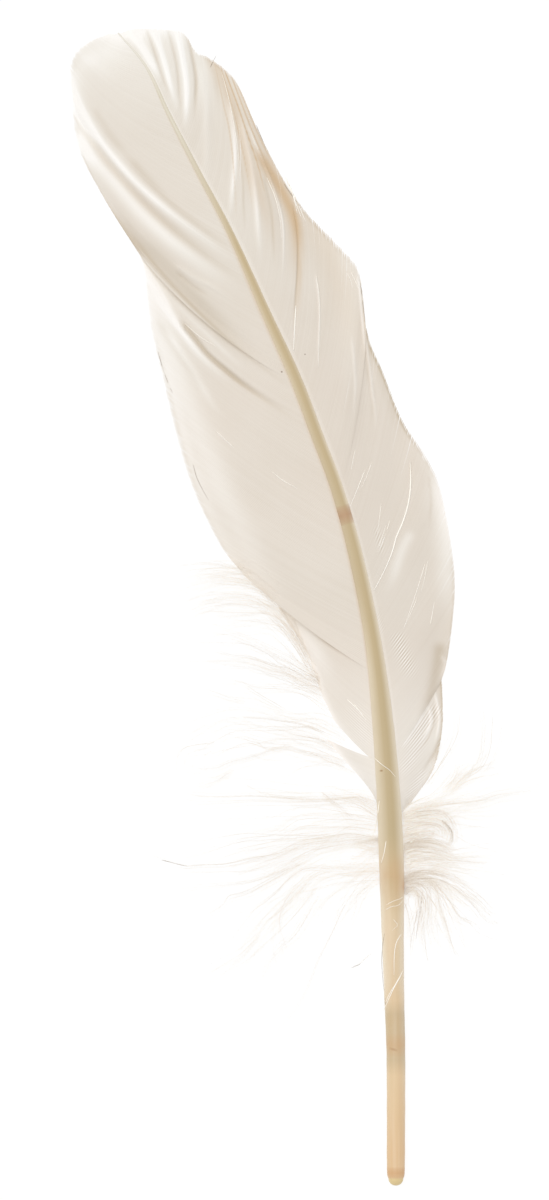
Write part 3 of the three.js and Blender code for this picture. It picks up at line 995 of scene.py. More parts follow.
def barb_shades(name, number, x, y, tone, up, share):
    """Adds painted light and shade (margin, ridge, open barbs, pale ends, roots) and rims to the fold
    shade.
    """
    # painted light at the thin margin, paler on most webs
    tone += MARGIN_SHADES.get(name, 0.25) * smooth_step(MARGIN_FROM, 1, share)
    tone += rng.normal(0, CHANCE_SHADE, (len(number), 1))
    # painted light on the ridge, painted shade on the flanks
    tone += np.where(up > 0.5, RIDGE_PAINTED_LIGHT, FLANK_PAINTED_SHADE)
    # unhooked barbs get painted glints and painted shade in turn
    for strength, half_width, points in OPEN_BARBS.get(name, []):
        in_turn = np.where(number % 2, *OPEN_GLINTS)
        tone += strength * nearness(x, y, points, half_width) * in_turn
    for shade, half_width, points in RIMS.get(name, []):
        tone += shade * nearness(x, y, points, half_width) * smooth_step(*RIM_SHARES, share)
    tone += TIP_PALE[0] * smooth_step(*TIP_PALE[1:], y)
    tone += FOOT_PALE[0] * (1 - smooth_step(*FOOT_PALE[1:], y))
    # the right roots: painted light against the shaft's shadow
    if WEBS[name][0] > 0:
        tone += RIGHT_ROOT_PAINTED_LIGHT * (1 - smooth_step(*RIGHT_ROOTS, share))
    return tone


def brown_of(name, x, y, share):
    """How brown the barbs are: the rolled strip, and the roots against the shaft; on the right that faint
    warmth is painted light.
    """
    brown = np.zeros(x.shape)
    if name == "right_web_upper":
        for strength, half_width, points in ROLLED_STRIP:
            brown = np.maximum(brown, strength * nearness(x, y, points, half_width))
    if WEBS[name][0] > 0:
        return np.maximum(brown, RIGHT_ROOT_PAINTED_WARMTH * (1 - smooth_step(*RIGHT_ROOTS, share)))
    return np.maximum(brown, LEFT_ROOT_BROWN * (1 - smooth_step(*LEFT_ROOTS, share)))


print("webs with a dark rim:", ", ".join(RIMS))

# %% Build the webs


def build_web(name):
    side, rows = WEBS[name]
    corners, faces = rod(4, BARB_RINGS)
    across, up, share = (c[None, :] for c in corners.T)
    number, place, reach = barb_blades(name, across, share)
    x, y, z = barb_line(side, rows, place, reach)
    tone = np.zeros(x.shape)
    for shade, lift, half_width, points in FOLDS[name]:
        near = nearness(x, y, points, half_width)
        tone += shade * near
        z += lift * near
    z = barb_heights(name, z, place, up, share)
    tone = barb_shades(name, number, x, y, tone, up, share)
    peach = brown_of(name, x, y, share)
    points = np.stack([x, y, z], axis=2)
    return joined_copies(name + "_barbs", faces, points, False, tone=tone, peach=peach)


webs = {name: build_web(name) for name in WEBS}
print("webs built:", len(webs))

# %% [markdown]
# ### Web keratin
#
# The webs are a warm off-white that is painted paler at the margin, for the light that passes
# through the single thin layer left there. The barbs have stored their shade, which is mostly
# painted light and shade, in an attribute, which a ramp turns into colour. A second attribute
# says where they are brown: in the strip that has rolled over itself, and in a warm line where the
# webs leave the shaft, which is faint on the right, where it is painted light through the thin edge.
# Two dark specks are small spots in the plan.
# Slow noise keeps the sheet from looking printed. Silky keratin has a soft sheen and no gloss.

# %% Web material
SPECKS = [(-28.5, 203.0, 0.3), (-22.7, 207.4, 0.22)]  # place and radius in mm
SPECK_CORE = 0.3  # share of the radius that is fully dark
CLOUDINESS = 0.12  # how much the slow noise changes the shade
WARM_LIGHT = (0.985, 0.95, 0.93, 1)  # the web's colour is multiplied by some of this
WARM_BELOW = (0.12, 0.05)  # in the scene's metres, from the upper to the lower place
WEB_SHADES = {
    0: (198, 185, 162),
    0.25: (213, 203, 187),
    0.5: (229, 222, 211),
    0.75: (241, 237, 229),
    1: (254, 252, 248),
}


def spot(tree, place, x, y, radius):
    """1 at a point of the plan, falling to 0 at radius from it."""
    flat = add_node(tree, "ShaderNodeVectorMath", operation="MULTIPLY")
    flat.inputs[1].default_value = (1, 1, 0)
    tree.links.new(place, flat.inputs[0])
    away = add_node(tree, "ShaderNodeVectorMath", operation="DISTANCE")
    away.inputs[1].default_value = in_metres(x, y)
    tree.links.new(flat.outputs["Vector"], away.inputs[0])
    return rescale(tree, away.outputs["Value"], radius * MM, SPECK_CORE * radius * MM)


def web_material():
    material, tree, shader = new_material("web_keratin", roughness=0.62, specular=0.18, sheen=0.05)
    # tone holds the painted light and shade of the barbs, with a little chance
    tone = rescale(tree, read_attribute(tree, "tone"), -1, 1)
    place = object_place(tree)
    clouds = calc(tree, "SUBTRACT", noise_of(tree, place, 60, 3), 0.5)
    colour = ramp(tree, calc(tree, "ADD", tone, times(tree, clouds, CLOUDINESS)), WEB_SHADES)
    warmth = rescale(tree, noise_of(tree, place, 25, 1), 0.3, 0.7)
    height = add_node(tree, "ShaderNodeSeparateXYZ")
    tree.links.new(place, height.inputs["Vector"])
    below_tip = rescale(tree, height.outputs["Y"], *WARM_BELOW)
    warmer = times(tree, calc(tree, "ADD", warmth, below_tip), 0.5)
    colour = mix(tree, warmer, colour, WARM_LIGHT, "MULTIPLY")
    colour = mix(tree, read_attribute(tree, "peach"), colour, as_seen(208, 178, 138))
    for x, y, radius in SPECKS:
        colour = tinted(tree, colour, spot(tree, place, x, y, radius), 0.8, (120, 90, 70))
    tree.links.new(colour, shader.inputs["Base Color"])
    return material


web_keratin = web_material()
for name, piece in webs.items():
    finish_piece(piece, web_keratin, "vane_webs", name)

# %% [markdown]
# ## Strands
#
# Down, stray barbs and loose hairs are strands: three-sided rods that follow a smooth line in plan.
# They could be curve objects with a bevel, but one mesh of joined rods exports as it stands. A
# strand starts a little thin, is widest soon after its root and thins out to its end.

# %% Build strands
THIN_ROOT = 0.4  # share of the full width
WIDEST_AT = 0.15  # share of the length
END_THINNING = 0.7  # share of the width that is gone at the end


def smooth_lines(keys, lines, share):
    """Reads every line of an array at the shares of its length."""
    low = np.clip(np.searchsorted(keys, share, side="right") - 1, 0, len(keys) - 2)
    t = ((share - keys[low]) / (keys[low + 1] - keys[low]))[None, :, None]
    before = lines[:, np.maximum(low - 1, 0)]
    start = lines[:, low]
    end = lines[:, low + 1]
    after = lines[:, np.minimum(low + 2, len(keys) - 1)]
    return 0.5 * (
        2 * start + (end - before) * t + (2 * before - 5 * start + 4 * end - after) * t**2
        + (3 * start - before - 3 * end + after) * t**3
    )


def strand_mesh(name, lines, radii, rings, flatten=1.0, **attributes):
    """lines is (strands, points, 3) in mm; radii is (strands,) at the widest place."""
    corners, faces = rod(3, rings)
    across, up, share = corners.T
    keys = np.linspace(0, 1, lines.shape[1])
    at = smooth_lines(keys, lines, share)
    ahead = smooth_lines(keys, lines, np.minimum(share + 0.02, 1))
    behind = smooth_lines(keys, lines, np.maximum(share - 0.02, 0))
    run = ahead - behind
    flat = np.maximum(np.hypot(run[..., 0], run[..., 1]), 1e-6)
    side = np.stack([run[..., 1] / flat, -run[..., 0] / flat, 0 * flat], axis=2)
    swelling = THIN_ROOT + (1 - THIN_ROOT) * smooth_step(0, WIDEST_AT, share)
    radius = radii[:, None] * (swelling * (1 - END_THINNING * share**1.5))[None, :]
    points = at + side * (across * radius)[..., None]
    points[..., 2] += up[None, :] * radius * flatten
    return joined_copies(name, faces, points, along=share[None, :], **attributes)


print("a strand of 16 rings:", len(rod(3, 16)[1]), "faces")

# %% [markdown]
# ## The down
#
# Down barbs have no hooks, so they drift apart into loose bundles. Each bundle is written as its
# middle line, from the shaft or from under a web outwards. A bundle of many barbs is a soft tuft,
# and one of a single barb is a hair that stands out by itself.

# %% Bundles of down
# (barbs, spread in mm, shade from 0 pale to 1.5 tan, the middle line in mm from the root outwards)
LEFT_DOWN = [
    (4, 1.7, 0.36, [(-33.5, 150.7), (-38.2, 154.2), (-41.5, 154.9), (-45.2, 155.7), (-49, 155.9),
        (-51.5, 155.7)]),
    (5, 2.3, 0.36, [(-32, 148.2), (-36.5, 151.7), (-39, 152.2), (-42.7, 152.7), (-45.7, 152.9),
        (-47.5, 153.2)]),
    (5, 2.3, 0.42, [(-30, 144.7), (-34.7, 149.2), (-38.2, 149.9), (-42.7, 150.9), (-47.7, 150.9),
        (-53.2, 149.4), (-55, 148.7)]),
    (6, 2.3, 0.36, [(-28, 141.2), (-32.2, 144.9), (-34.7, 146.9), (-37.7, 147.9), (-41.5, 148.2),
        (-45.7, 147.9), (-47.7, 147.2)]),
    (6, 2.3, 0.36, [(-26, 139.2), (-30.7, 144.2), (-34.7, 145.4), (-39, 145.7), (-42.7, 146.2),
        (-47.7, 146.2), (-52.2, 144.4)]),
    (6, 2.3, 0.36, [(-24, 136.2), (-28.2, 141.7), (-32.2, 143.7), (-35.7, 143.7), (-39.5, 143.2),
        (-42.7, 143.4), (-47.2, 144.2), (-50.2, 142.9)]),
    (6, 2.3, 0.36, [(-21.5, 132.4), (-26, 138.7), (-29, 141.2), (-32.2, 142.4), (-39, 142.4), (-46, 142.4),
        (-48.2, 141.7), (-50.2, 139.9)]),
    (7, 2.9, 0.39, [(-19.5, 129.2), (-24, 134.4), (-27.2, 137.9), (-29.7, 139.4), (-36.5, 140.7),
        (-40.7, 140.4), (-44.7, 139.4), (-49.5, 141.2)]),
    (7, 2.9, 0.39, [(-18, 125.7), (-21.5, 129.2), (-24, 131.9), (-29.7, 137.9), (-33.2, 139.2),
        (-38.2, 138.7), (-42.7, 139.2)]),
    (6, 1.2, 0.54, [(-17, 123.7), (-19.7, 126.9), (-24, 129.4), (-28.2, 131.9), (-34.7, 134.9),
        (-39.7, 136.9), (-44.7, 138.4), (-49.5, 140.9)]),
    (10, 2.9, 0.54, [(-16, 122.4), (-19.7, 125.4), (-24, 126.2), (-30.2, 128.7), (-32.7, 130.4),
        (-35.7, 131.7), (-39, 132.4), (-49, 132.4), (-57, 132.4)]),
    (9, 2.1, 0.57, [(-16.5, 122.7), (-21.5, 124.9), (-27, 127.9), (-30.2, 128.4), (-36.5, 130.4),
        (-40.7, 130.4), (-44.7, 131.2), (-47.7, 131.4)]),
    (8, 2.9, 0.48, [(-17, 122.2), (-24, 125.2), (-28.2, 127.9), (-32.2, 128.7), (-35.7, 130.2),
        (-40.2, 130.9)]),
    (7, 2.9, 0.36, [(-15.5, 119.2), (-22, 123.7), (-28.2, 124.9), (-34.7, 124.9), (-38.2, 125.7),
        (-42.7, 126.2), (-46, 125.7)]),
    (3, 1.2, 0.36, [(-27.7, 118.2), (-34.5, 121.9), (-37, 123.2), (-39.5, 124.7)]),
    (3, 1.2, 0.39, [(-37.7, 120.7), (-41.5, 121.4), (-45.2, 122.7), (-47.2, 123.4), (-49.2, 124.2)]),
    (7, 2.9, 0.39, [(-13.5, 113.2), (-19.7, 115.7), (-24.7, 115.7), (-29, 116.9), (-31.5, 118.7),
        (-34.7, 119.9), (-38.2, 120.9), (-42.7, 121.9)]),
    (4, 1.2, 0.51, [(-17.7, 113.2), (-22.7, 115.2), (-28.2, 116.2), (-32.7, 116.9), (-37, 117.2),
        (-39, 117.7)]),
    (7, 2.9, 0.42, [(-12.7, 110.7), (-21.5, 115.4), (-27, 115.7), (-32.2, 116.7), (-40.7, 117.7),
        (-47.7, 115.7), (-51.5, 114.2), (-57.2, 109.2)]),
    (6, 1.2, 0.54, [(-15.2, 109.2), (-19.7, 111.7), (-24, 112.7), (-27, 113.7), (-31.5, 115.2)]),
    (8, 2.9, 0.42, [(-11, 106.2), (-17.7, 109.4), (-22.2, 111.2), (-29, 111.7), (-34.7, 112.9),
        (-41.5, 114.9), (-46, 112.9), (-52, 109.2), (-54.5, 107.4)]),
    (4, 2.3, 0.36, [(-26.5, 108.7), (-32.2, 109.2), (-34.7, 110.4), (-37.7, 111.2), (-43.2, 109.4),
        (-47, 107.2)]),
    (10, 1.8, 0.42, [(-12.7, 104.9), (-19, 106.9), (-24, 108.2), (-28.2, 109.2), (-34.7, 106.9),
        (-41.5, 105.2), (-44.7, 103.7), (-51, 103.4), (-53.5, 103.4)]),
    (5, 2.3, 0.36, [(-10.2, 102.4), (-15.7, 105.4), (-19.7, 105.4), (-24, 104.9), (-28.2, 102.9),
        (-33.5, 101.7)]),
    (3, 2.3, 0.2, [(-45.2, 109.9), (-52, 109.2), (-54.5, 107.4), (-55.5, 105.4), (-55.7, 102.2)]),
    (5, 2.3, 0.3, [(-40.2, 103.2), (-44.7, 100.7), (-49, 99.4), (-52, 97.2)]),
    (12, 2.1, 0.51, [(-3.5, 95.4), (-9, 97.4), (-14.5, 96.9), (-21, 96.7), (-27.2, 96.7), (-34.7, 97.2),
        (-42.7, 96.9), (-49, 96.9), (-52.5, 97.4), (-58.5, 99.9)]),
    (6, 1.7, 0.42, [(-20.2, 96.2), (-27.2, 96.7), (-31.5, 97.2), (-34.7, 97.9), (-38.5, 99.9)]),
    (10, 2.1, 0.41, [(-3.5, 93.2), (-8.5, 95.7), (-11, 96.2), (-17, 95.4), (-24, 94.7), (-27.7, 94.9)]),
    (6, 1.2, 0.57, [(-18.5, 98.2), (-15.7, 95.7), (-13.5, 94.2), (-11.7, 92.2), (-9.7, 89.7)]),
    (10, 2.1, 0.43, [(-3.5, 92.2), (-8.2, 94.9), (-11, 95.7), (-15.2, 96.7), (-19, 97.4)]),
    (10, 3.6, 0.36, [(-3.5, 90.7), (-11.5, 91.7), (-15.7, 91.7), (-24, 91.7), (-29, 88.4), (-34.7, 86.7),
        (-40.7, 85.4), (-44.7, 84.4)]),
    (9, 2.9, 0.34, [(-3.5, 89.2), (-11, 90.4), (-15.7, 89.2), (-19.7, 88.2), (-24, 86.2), (-29, 84.7)]),
    (15, 2.9, 0.43, [(-3.5, 86.2), (-11, 87.4), (-15.2, 86.7), (-22.7, 85.4), (-28.2, 82.7), (-34, 80.4),
        (-39, 78.7), (-42, 77.7)]),
    (15, 2.9, 0.41, [(-3.5, 83.7), (-9, 85.7), (-13.5, 85.4), (-19, 84.4), (-25.2, 81.2), (-30.7, 77.9),
        (-35.7, 75.4), (-40, 72.7)]),
    (8, 4.2, 0.39, [(-12.7, 86.7), (-21.5, 85.7), (-27.7, 85.4), (-34.7, 83.9), (-38.2, 82.9),
        (-42.5, 80.9)]),
    (8, 4.2, 0.39, [(-16.5, 88.2), (-24, 87.2), (-30.7, 86.7), (-39, 86.2), (-49, 83.2), (-57, 81.9)]),
    (4, 1.2, 0.6, [(-24, 83.7), (-31.5, 81.9), (-36.5, 81.2), (-42.7, 79.9), (-49, 79.7), (-52.5, 79.4),
        (-57, 80.7), (-61.5, 82.2)]),
    (4, 2.3, 0.42, [(-21.5, 81.7), (-29, 79.2), (-36, 77.2), (-42.7, 76.7), (-51, 76.4), (-55, 76.2)]),
    (6, 2.3, 0.42, [(-24, 80.7), (-31.5, 76.7), (-37.7, 73.7), (-42, 72.9), (-44, 70.4), (-47.7, 68.2),
        (-51.5, 66.4)]),
    (7, 1.5, 0.38, [(-3.5, 83.7), (-7, 82.4), (-9.5, 80.2), (-12.2, 80.4), (-11.5, 82.9)]),
    (15, 4.2, 0.38, [(-3, 80.2), (-11, 79.9), (-17.2, 79.2), (-22, 76.9), (-24.5, 73.7), (-30.7, 68.7),
        (-35.7, 62.4), (-38.5, 57.9), (-43.5, 55.4), (-49, 53.4)]),
    (8, 2.9, 0.45, [(-16.5, 78.2), (-22.7, 78.2), (-27, 75.2), (-29, 72.7), (-32, 69.9), (-35, 67.7),
        (-39.7, 63.9)]),
    (8, 4.2, 0.42, [(-21.5, 76.2), (-26, 71.2), (-29.7, 67.7), (-33.5, 64.7), (-37.2, 61.7), (-41, 59.7)]),
    (4, 1.7, 0.3, [(-24, 74.9), (-28.2, 69.9), (-30, 65.7), (-30.2, 62.4), (-29.7, 58.2), (-28.2, 52.4)]),
    (6, 2.3, 0.42, [(-19, 72.4), (-24.7, 62.9), (-28.2, 59.9), (-31.5, 56.2), (-33.5, 52.9), (-37, 48.7)]),
    (4, 2.3, 0.39, [(-33.5, 62.4), (-38.2, 57.4), (-42.7, 54.2), (-47.5, 50.7)]),
    (11, 2.9, 0.3, [(-3, 79.2), (-6.5, 79.2), (-10.2, 76.7), (-15.2, 72.9), (-17.7, 70.7), (-19.7, 67.4),
        (-21.2, 63.4)]),
    (10, 4.2, 0.26, [(-3, 77.2), (-11.5, 76.2), (-15.7, 75.4), (-21, 73.7), (-26.5, 72.2)]),
    (6, 2.3, 0.31, [(-3, 77.7), (-7.2, 74.9), (-9.5, 71.7), (-11.5, 68.2), (-14.5, 64.2)]),
    (4, 2.3, 0.39, [(-6, 74.9), (-10.2, 72.9), (-11.7, 68.7), (-15.2, 63.2)]),
    (1, 0.3, 0.6, [(-12.7, 69.9), (-16.5, 61.9), (-19.7, 55.7), (-22.7, 48.2), (-27, 41.9), (-32.2, 37.4),
        (-34.7, 35.9)]),
    (1, 0.3, 0.3, [(-6, 58), (-8.6, 55.8), (-10.6, 54.4), (-12.6, 54)]),
    (10, 1.6, 0.2, [(-32.5, 151), (-37, 153), (-42, 153.8), (-50, 153.6), (-57, 152)]),
    (12, 2.4, 0.2, [(-29.5, 146.5), (-35, 150), (-43, 150.8), (-50, 149.5), (-56, 146.5)]),
    (12, 3.5, 0.2, [(-25, 139), (-31, 145), (-39, 147), (-48, 145), (-55, 141.5)]),
    (16, 1.4, 0.9, [(-3.2, 85.5), (-5, 86.3), (-8, 85.6), (-12, 85)]),
    (8, 2, 0.35, [(-3.2, 84), (-6, 84.6), (-9, 84.2), (-13, 83)]),
    (6, 1.2, 0.2, [(-35.2, 153.6), (-40.2, 154.6), (-45.2, 154.8), (-49.5, 154.2)]),
    (8, 1.6, 0.42, [(-19.3, 126.3), (-23.6, 135), (-27.9, 142.7), (-35.7, 149.8), (-42.7, 151.3),
        (-49.7, 152.1)]),
    (6, 1.4, 0.42, [(-21.6, 129.5), (-25.5, 138.5), (-28.6, 145.1), (-34.1, 150.5), (-38.8, 153.4),
        (-49.7, 154.6)]),
    (7, 1.8, 0.42, [(-19.3, 126), (-27.1, 138.8), (-35.7, 145.9), (-45.8, 145.9), (-52.9, 143.5)]),
]
RIGHT_DOWN = [
    (14, 2.2, 0.14, [(1, 93.2), (6, 94.9), (9.3, 96.2), (11.8, 97.9), (14.3, 99.9), (17.8, 101.4),
        (21.5, 102.2)]),
    (10, 2.5, 0.17, [(12.3, 97.9), (15, 100.7), (16.3, 103.2), (17, 106.7)]),
    (10, 3, 0.17, [(13.5, 98.7), (16.5, 101.7), (20.5, 103.7), (23.5, 104.7), (26.8, 105.9)]),
    (4, 2, 0.05, [(14.8, 99.9), (18.5, 103.2), (21, 106.9), (21.8, 113.2), (21.5, 117.4), (20.5, 121.9)]),
    (3, 1.6, 0.05, [(16.5, 101.2), (21.5, 104.2), (24.3, 109.2), (25.5, 113.7), (26, 120.2)]),
    (4, 1.6, 0.05, [(8, 99.9), (11, 104.4), (13.5, 108.7), (15.3, 112.9), (15.5, 116.7), (15.3, 121.2)]),
    (3, 1.6, 0.05, [(6, 100.7), (9.8, 105.7), (12.5, 109.9), (14.3, 112.4)]),
    (10, 2.6, 0.2, [(1, 92.7), (6, 94.2), (11.5, 95.2), (20.5, 96.2), (24.8, 97.7), (29.8, 98.4),
        (33.5, 98.9), (36.8, 100.2)]),
    (12, 3, 0.12, [(1.5, 92.2), (7.3, 93.4), (12.3, 94.7), (19.8, 95.4), (26, 95.9), (31.3, 96.4)]),
    (11, 4, 0.15, [(2, 91.2), (10.3, 93.4), (14.3, 93.2), (19.8, 92.2), (24.8, 92.7), (29.5, 93.2)]),
    (6, 3, 0.15, [(8.5, 90.2), (13.5, 90.7), (16.5, 91.2), (20.3, 91.9), (23.5, 93.2)]),
    (15, 1.8, 0.2, [(1, 91.7), (6, 92.7), (11, 92.9), (13.3, 90.9), (14, 87.9), (13.3, 85.4), (11, 84.2)]),
    (14, 1.8, 0.2, [(1, 90.2), (5.5, 91.2), (10, 91.2), (12, 89.4), (12.5, 87.2), (11.5, 85.4)]),
    (18, 1.8, 0.32, [(1, 88.4), (5.5, 89.4), (9.3, 89.4), (10.8, 87.9), (10.8, 85.9)]),
    (19, 1.6, 0.42, [(1, 86.7), (5, 87.7), (8.5, 87.4), (10, 86.2)]),
    (27, 1.6, 0.52, [(1, 84.7), (5.5, 85.7), (9.8, 85.4), (12.5, 84.2), (14.5, 82.2)]),
    (24, 2, 0.28, [(1, 82.9), (5.5, 83.9), (10.5, 83.4), (14, 81.9), (16.5, 80.7)]),
    (16, 2.5, 0.2, [(1, 81.2), (6, 82.2), (11.5, 81.7), (14.3, 81.2), (19, 81.9), (25, 81.9)]),
    (19, 2.5, 0.25, [(1, 79.2), (4, 80.2), (8, 80.7), (14.3, 80.4), (21.5, 79.9), (29, 78.7)]),
    (16, 0.9, 1.4, [(1.2, 73.2), (2.4, 73.6), (3.8, 74.2), (5, 74.6)]),
    (3, 1.2, 0.9, [(1, 91.7), (6, 92.7), (11, 92.9), (13.3, 90.9), (14, 87.9)]),
    (4, 1.2, 0.9, [(1, 89.4), (5.5, 90.4), (9.6, 90.2), (12.2, 88.8), (12.9, 86.4)]),
    (26, 2, 0.85, [(1, 75.6), (3.4, 77.2), (6.1, 77.9), (9.9, 77.4), (13.3, 76.1)]),
    (8, 0.25, 1.1, [(11.4, 91), (12.6, 90), (13.8, 88.4), (14, 86.2), (12.9, 84.2)]),
    (16, 1.5, 0.8, [(1, 83.2), (3.4, 84.6), (6.1, 85.5), (9.2, 85.9), (12.9, 84)]),
    (12, 2, 0.5, [(1, 75.2), (4, 76.2), (7.8, 76.7), (11, 76.2), (14.8, 74.2), (19.8, 70.4), (23, 66.9),
        (26.8, 66.2)]),
    (11, 2, 0.2, [(8.5, 79.2), (12.3, 78.2), (16.5, 76.9), (20.5, 75.2)]),
    (11, 2, 0.25, [(7.3, 76.7), (11, 75.2), (14.8, 73.4), (18.5, 71.4), (22, 70.4)]),
    (5, 1.6, 0.52, [(8.5, 76.2), (12.3, 71.7), (15, 67.4), (17, 65.9), (19.5, 64.7), (22, 61.2)]),
    (9, 2.6, 0.5, [(1, 74.4), (3.5, 74.7), (5.5, 73.7), (6.8, 70.7), (6, 66.9), (5.3, 64.4), (4.3, 60.7)]),
    (8, 3, 0.45, [(1, 74.2), (4, 74.7), (6.3, 73.7), (6.8, 69.4), (6.5, 65.4), (7.3, 60.4), (8.3, 55.9)]),
    (10, 4, 0.3, [(1.5, 74.7), (5.5, 75.7), (8.5, 73.7), (9, 69.4), (11, 64.2), (12.8, 61.4)]),
    (10, 4, 0.3, [(2, 75.2), (7.3, 76.2), (11, 73.9), (11.8, 70.4), (13.5, 64.4), (14.8, 59.7),
        (15.5, 56.7)]),
    (6, 2, 0.2, [(2.3, 74.2), (5.5, 72.4), (8, 67.4), (9.5, 62.4), (12.8, 57.9)]),
    (5, 2, 0.2, [(0.5, 73.7), (2.5, 69.9), (3.3, 64.9), (3.5, 56.9)]),
    (12, 4.5, 0.3, [(1, 75.6), (5, 76), (9, 74.5), (12.5, 71), (15, 66)]),
    (1, 0.4, 0.75, [(4.5, 74.5), (6.8, 70.9), (5.8, 65), (4.6, 59)]),
    (1, 0.4, 0.55, [(5.5, 74.5), (6.9, 65), (7.6, 60), (8.4, 55.4)]),
    (1, 0.2, 0.7, [(5.3, 69), (4.6, 65), (4.2, 61), (3.8, 56)]),
    (1, 0.2, 0.5, [(10.6, 71.2), (12.6, 65), (14.2, 59.7), (15.8, 56.5)]),
    (2, 0.8, 0.5, [(8, 73), (11, 67.8), (13.2, 61), (15.3, 54.7)]),
    (2, 0.8, 0.15, [(14, 75), (20.5, 70.4), (23, 67.5), (26.3, 66.2)]),
]

print("bundles of down:", len(LEFT_DOWN), "left,", len(RIGHT_DOWN), "right")

# %% [markdown]
# ## Growing the hairs
#
# The hairs of a bundle leave its line a little more the further they run, some of them far more
# than the others, and each arches off the surface on its way. Every hair carries short, very fine
# barbules, which are what makes down look soft. A particle system would grow them too, but its
# hairs are no mesh, so chance places them along each line here. The smallest closed hair is a
# spike with three sides, and many thousands of those stay light enough.

# %% Barbs of the down
STRAY_SHARE = 0.3  # of the barbs, which leave their bundle
STRAY_PUSH = 2.5  # times as far as the others
DARK_SHARE = 0.12  # of the barbs, which are darker than the others
DARKER = 0.6  # in shade
LONE_COUNT = 4  # a bundle of no more barbs than this is made of stouter, darker ones
LONE_STOUTNESS = 1.35
LONE_DARKER = 0.1
THICKENING = 1.5  # more barbs in every bundle than its table says
LINE_STEPS = 16
SHAFT_ROOT = 3.6  # height of a root on the shaft
MARGIN_ROOT = 0.2  # height of a root tucked under a web
SHAFT_REACH = 6  # a line that starts nearer to the barrel's axis is rooted on the shaft
END_HEIGHT = 0.3  # of a barb's end over the surface
LOFT = (0.1, 2.2)  # how far a barb arches up, at least and at most
SHORTEST = 0.55  # share, squared, of the line that a barb follows at least
ROOT_SPREAD = 0.4  # shares of a bundle's spread: at the root
WAY_SPREAD = 0.6  # and gained on the way
WAVER = 0.25  # of a single barb, in mm
SHADE_RANGE = (0.3, 1.4)  # times the bundle's own shade


def read_along(at, keys, line):
    return np.stack([np.interp(at, keys, column) for column in line.T], axis=1)


def grow_bundles(bundles):
    """The barbs of all bundles: their lines, shades and stoutness."""
    lines, shades, stoutness = [], [], []
    share = np.linspace(0, 1, LINE_STEPS)
    for count, spread, shade, points in bundles:
        base = smooth_line(points, 60)
        on_line = np.linspace(0, 1, len(base))
        run = np.gradient(base, axis=0)
        square = np.stack([-run[:, 1], run[:, 0]], axis=1) / np.hypot(run[:, 0], run[:, 1])[:, None]
        root = SHAFT_ROOT if abs(points[0][0]) < SHAFT_REACH else MARGIN_ROOT
        alone = count <= LONE_COUNT
        for _ in range(round(count * THICKENING)):
            at = share * rng.uniform(SHORTEST, 1) ** 0.5
            stray = STRAY_PUSH if rng.random() < STRAY_SHARE else 1
            push = spread * (rng.normal(0, ROOT_SPREAD) + rng.normal(0, WAY_SPREAD) * stray * at)
            push = push + rng.normal(0, WAVER) * np.sin(at * rng.uniform(3, 7) + rng.uniform(0, 6)) * at
            x, y = (read_along(at, on_line, base) + read_along(at, on_line, square) * push[:, None]).T
            arch = rng.uniform(*LOFT) * np.sin(at * math.pi) ** 2
            z = END_HEIGHT + (root - END_HEIGHT) * (1 - at) ** 2 + arch
            lines.append(np.stack([x, y, z], axis=1))
            uneven = shade * rng.uniform(*SHADE_RANGE)
            shades.append(uneven + DARKER * (rng.random() < DARK_SHARE) + LONE_DARKER * alone)
            stoutness.append(LONE_STOUTNESS if alone else 1)
    return np.array(lines), np.array(shades), np.array(stoutness)


print("most down barbs in one bundle:", max(row[0] for row in LEFT_DOWN + RIGHT_DOWN))

# %% Barbules of the down
BARBULE_RADIUS = 0.011
BARBULE_LENGTH = 1.6
BARBULE_SHADE = 0.7  # of the shade of the barb it grows on
BARBULE_SLANT = (0.45, 1.0)  # radians from the barb, at least and at most


def grow_barbules(lines, spacing):
    """Short hairs to both sides of each barb: their roots, ends and the barb each belongs to."""
    roots, ends, owners = [], [], []
    for owner, line in enumerate(lines):
        travelled = np.concatenate(([0], np.cumsum(np.linalg.norm(np.diff(line, axis=0), axis=1))))
        at = np.arange(spacing, travelled[-1], spacing)
        at = at + rng.uniform(-0.4, 0.4, len(at)) * spacing
        root = read_along(at, travelled, line)
        run = read_along(at + 0.3, travelled, line) - root
        sides = np.where(np.arange(len(at)) % 2, 1, -1)
        angle = np.arctan2(run[:, 1], run[:, 0]) + sides * rng.uniform(*BARBULE_SLANT, len(at))
        reach = BARBULE_LENGTH * rng.uniform(0.5, 1.2, len(at)) * (1.1 - 0.7 * at / travelled[-1])
        rise = rng.uniform(-0.2, 0.3, len(at))
        roots.append(root)
        ends.append(root + reach[:, None] * np.stack([np.cos(angle), np.sin(angle), rise], axis=1))
        owners.append(np.full(len(at), owner))
    return np.concatenate(roots), np.concatenate(ends), np.concatenate(owners)


def spike_mesh(name, roots, ends, radius, **attributes):
    """The smallest closed hair: a three-sided spike."""
    bm = bmesh.new()
    bmesh.ops.create_cone(bm, cap_ends=True, segments=3, radius1=1, radius2=0, depth=1)
    bmesh.ops.translate(bm, verts=bm.verts[:], vec=(0, 0, 0.5))
    corners, faces = corners_and_faces(bm)
    across, up, share = corners.T
    run = ends - roots
    square = np.stack([run[:, 1], -run[:, 0], 0 * run[:, 0]], axis=1)
    square = square / np.maximum(np.linalg.norm(square, axis=1), 1e-6)[:, None]
    lengthwise = roots[:, None] + run[:, None] * share[None, :, None]
    points = lengthwise + square[:, None] * (across * radius)[None, :, None]
    points[..., 2] += up[None, :] * radius
    return joined_copies(name, faces, points, False, along=share[None, :], **attributes)


print("barbules are", 2 * BARBULE_RADIUS, "mm thick at the root")

# %% Join each tuft
TUFT_GAP = (0.15, 0.15, 0.12)  # between the down and the sides of its packed tuft, in mm
TUFT_TOP = 8.0  # no hair comes higher than this


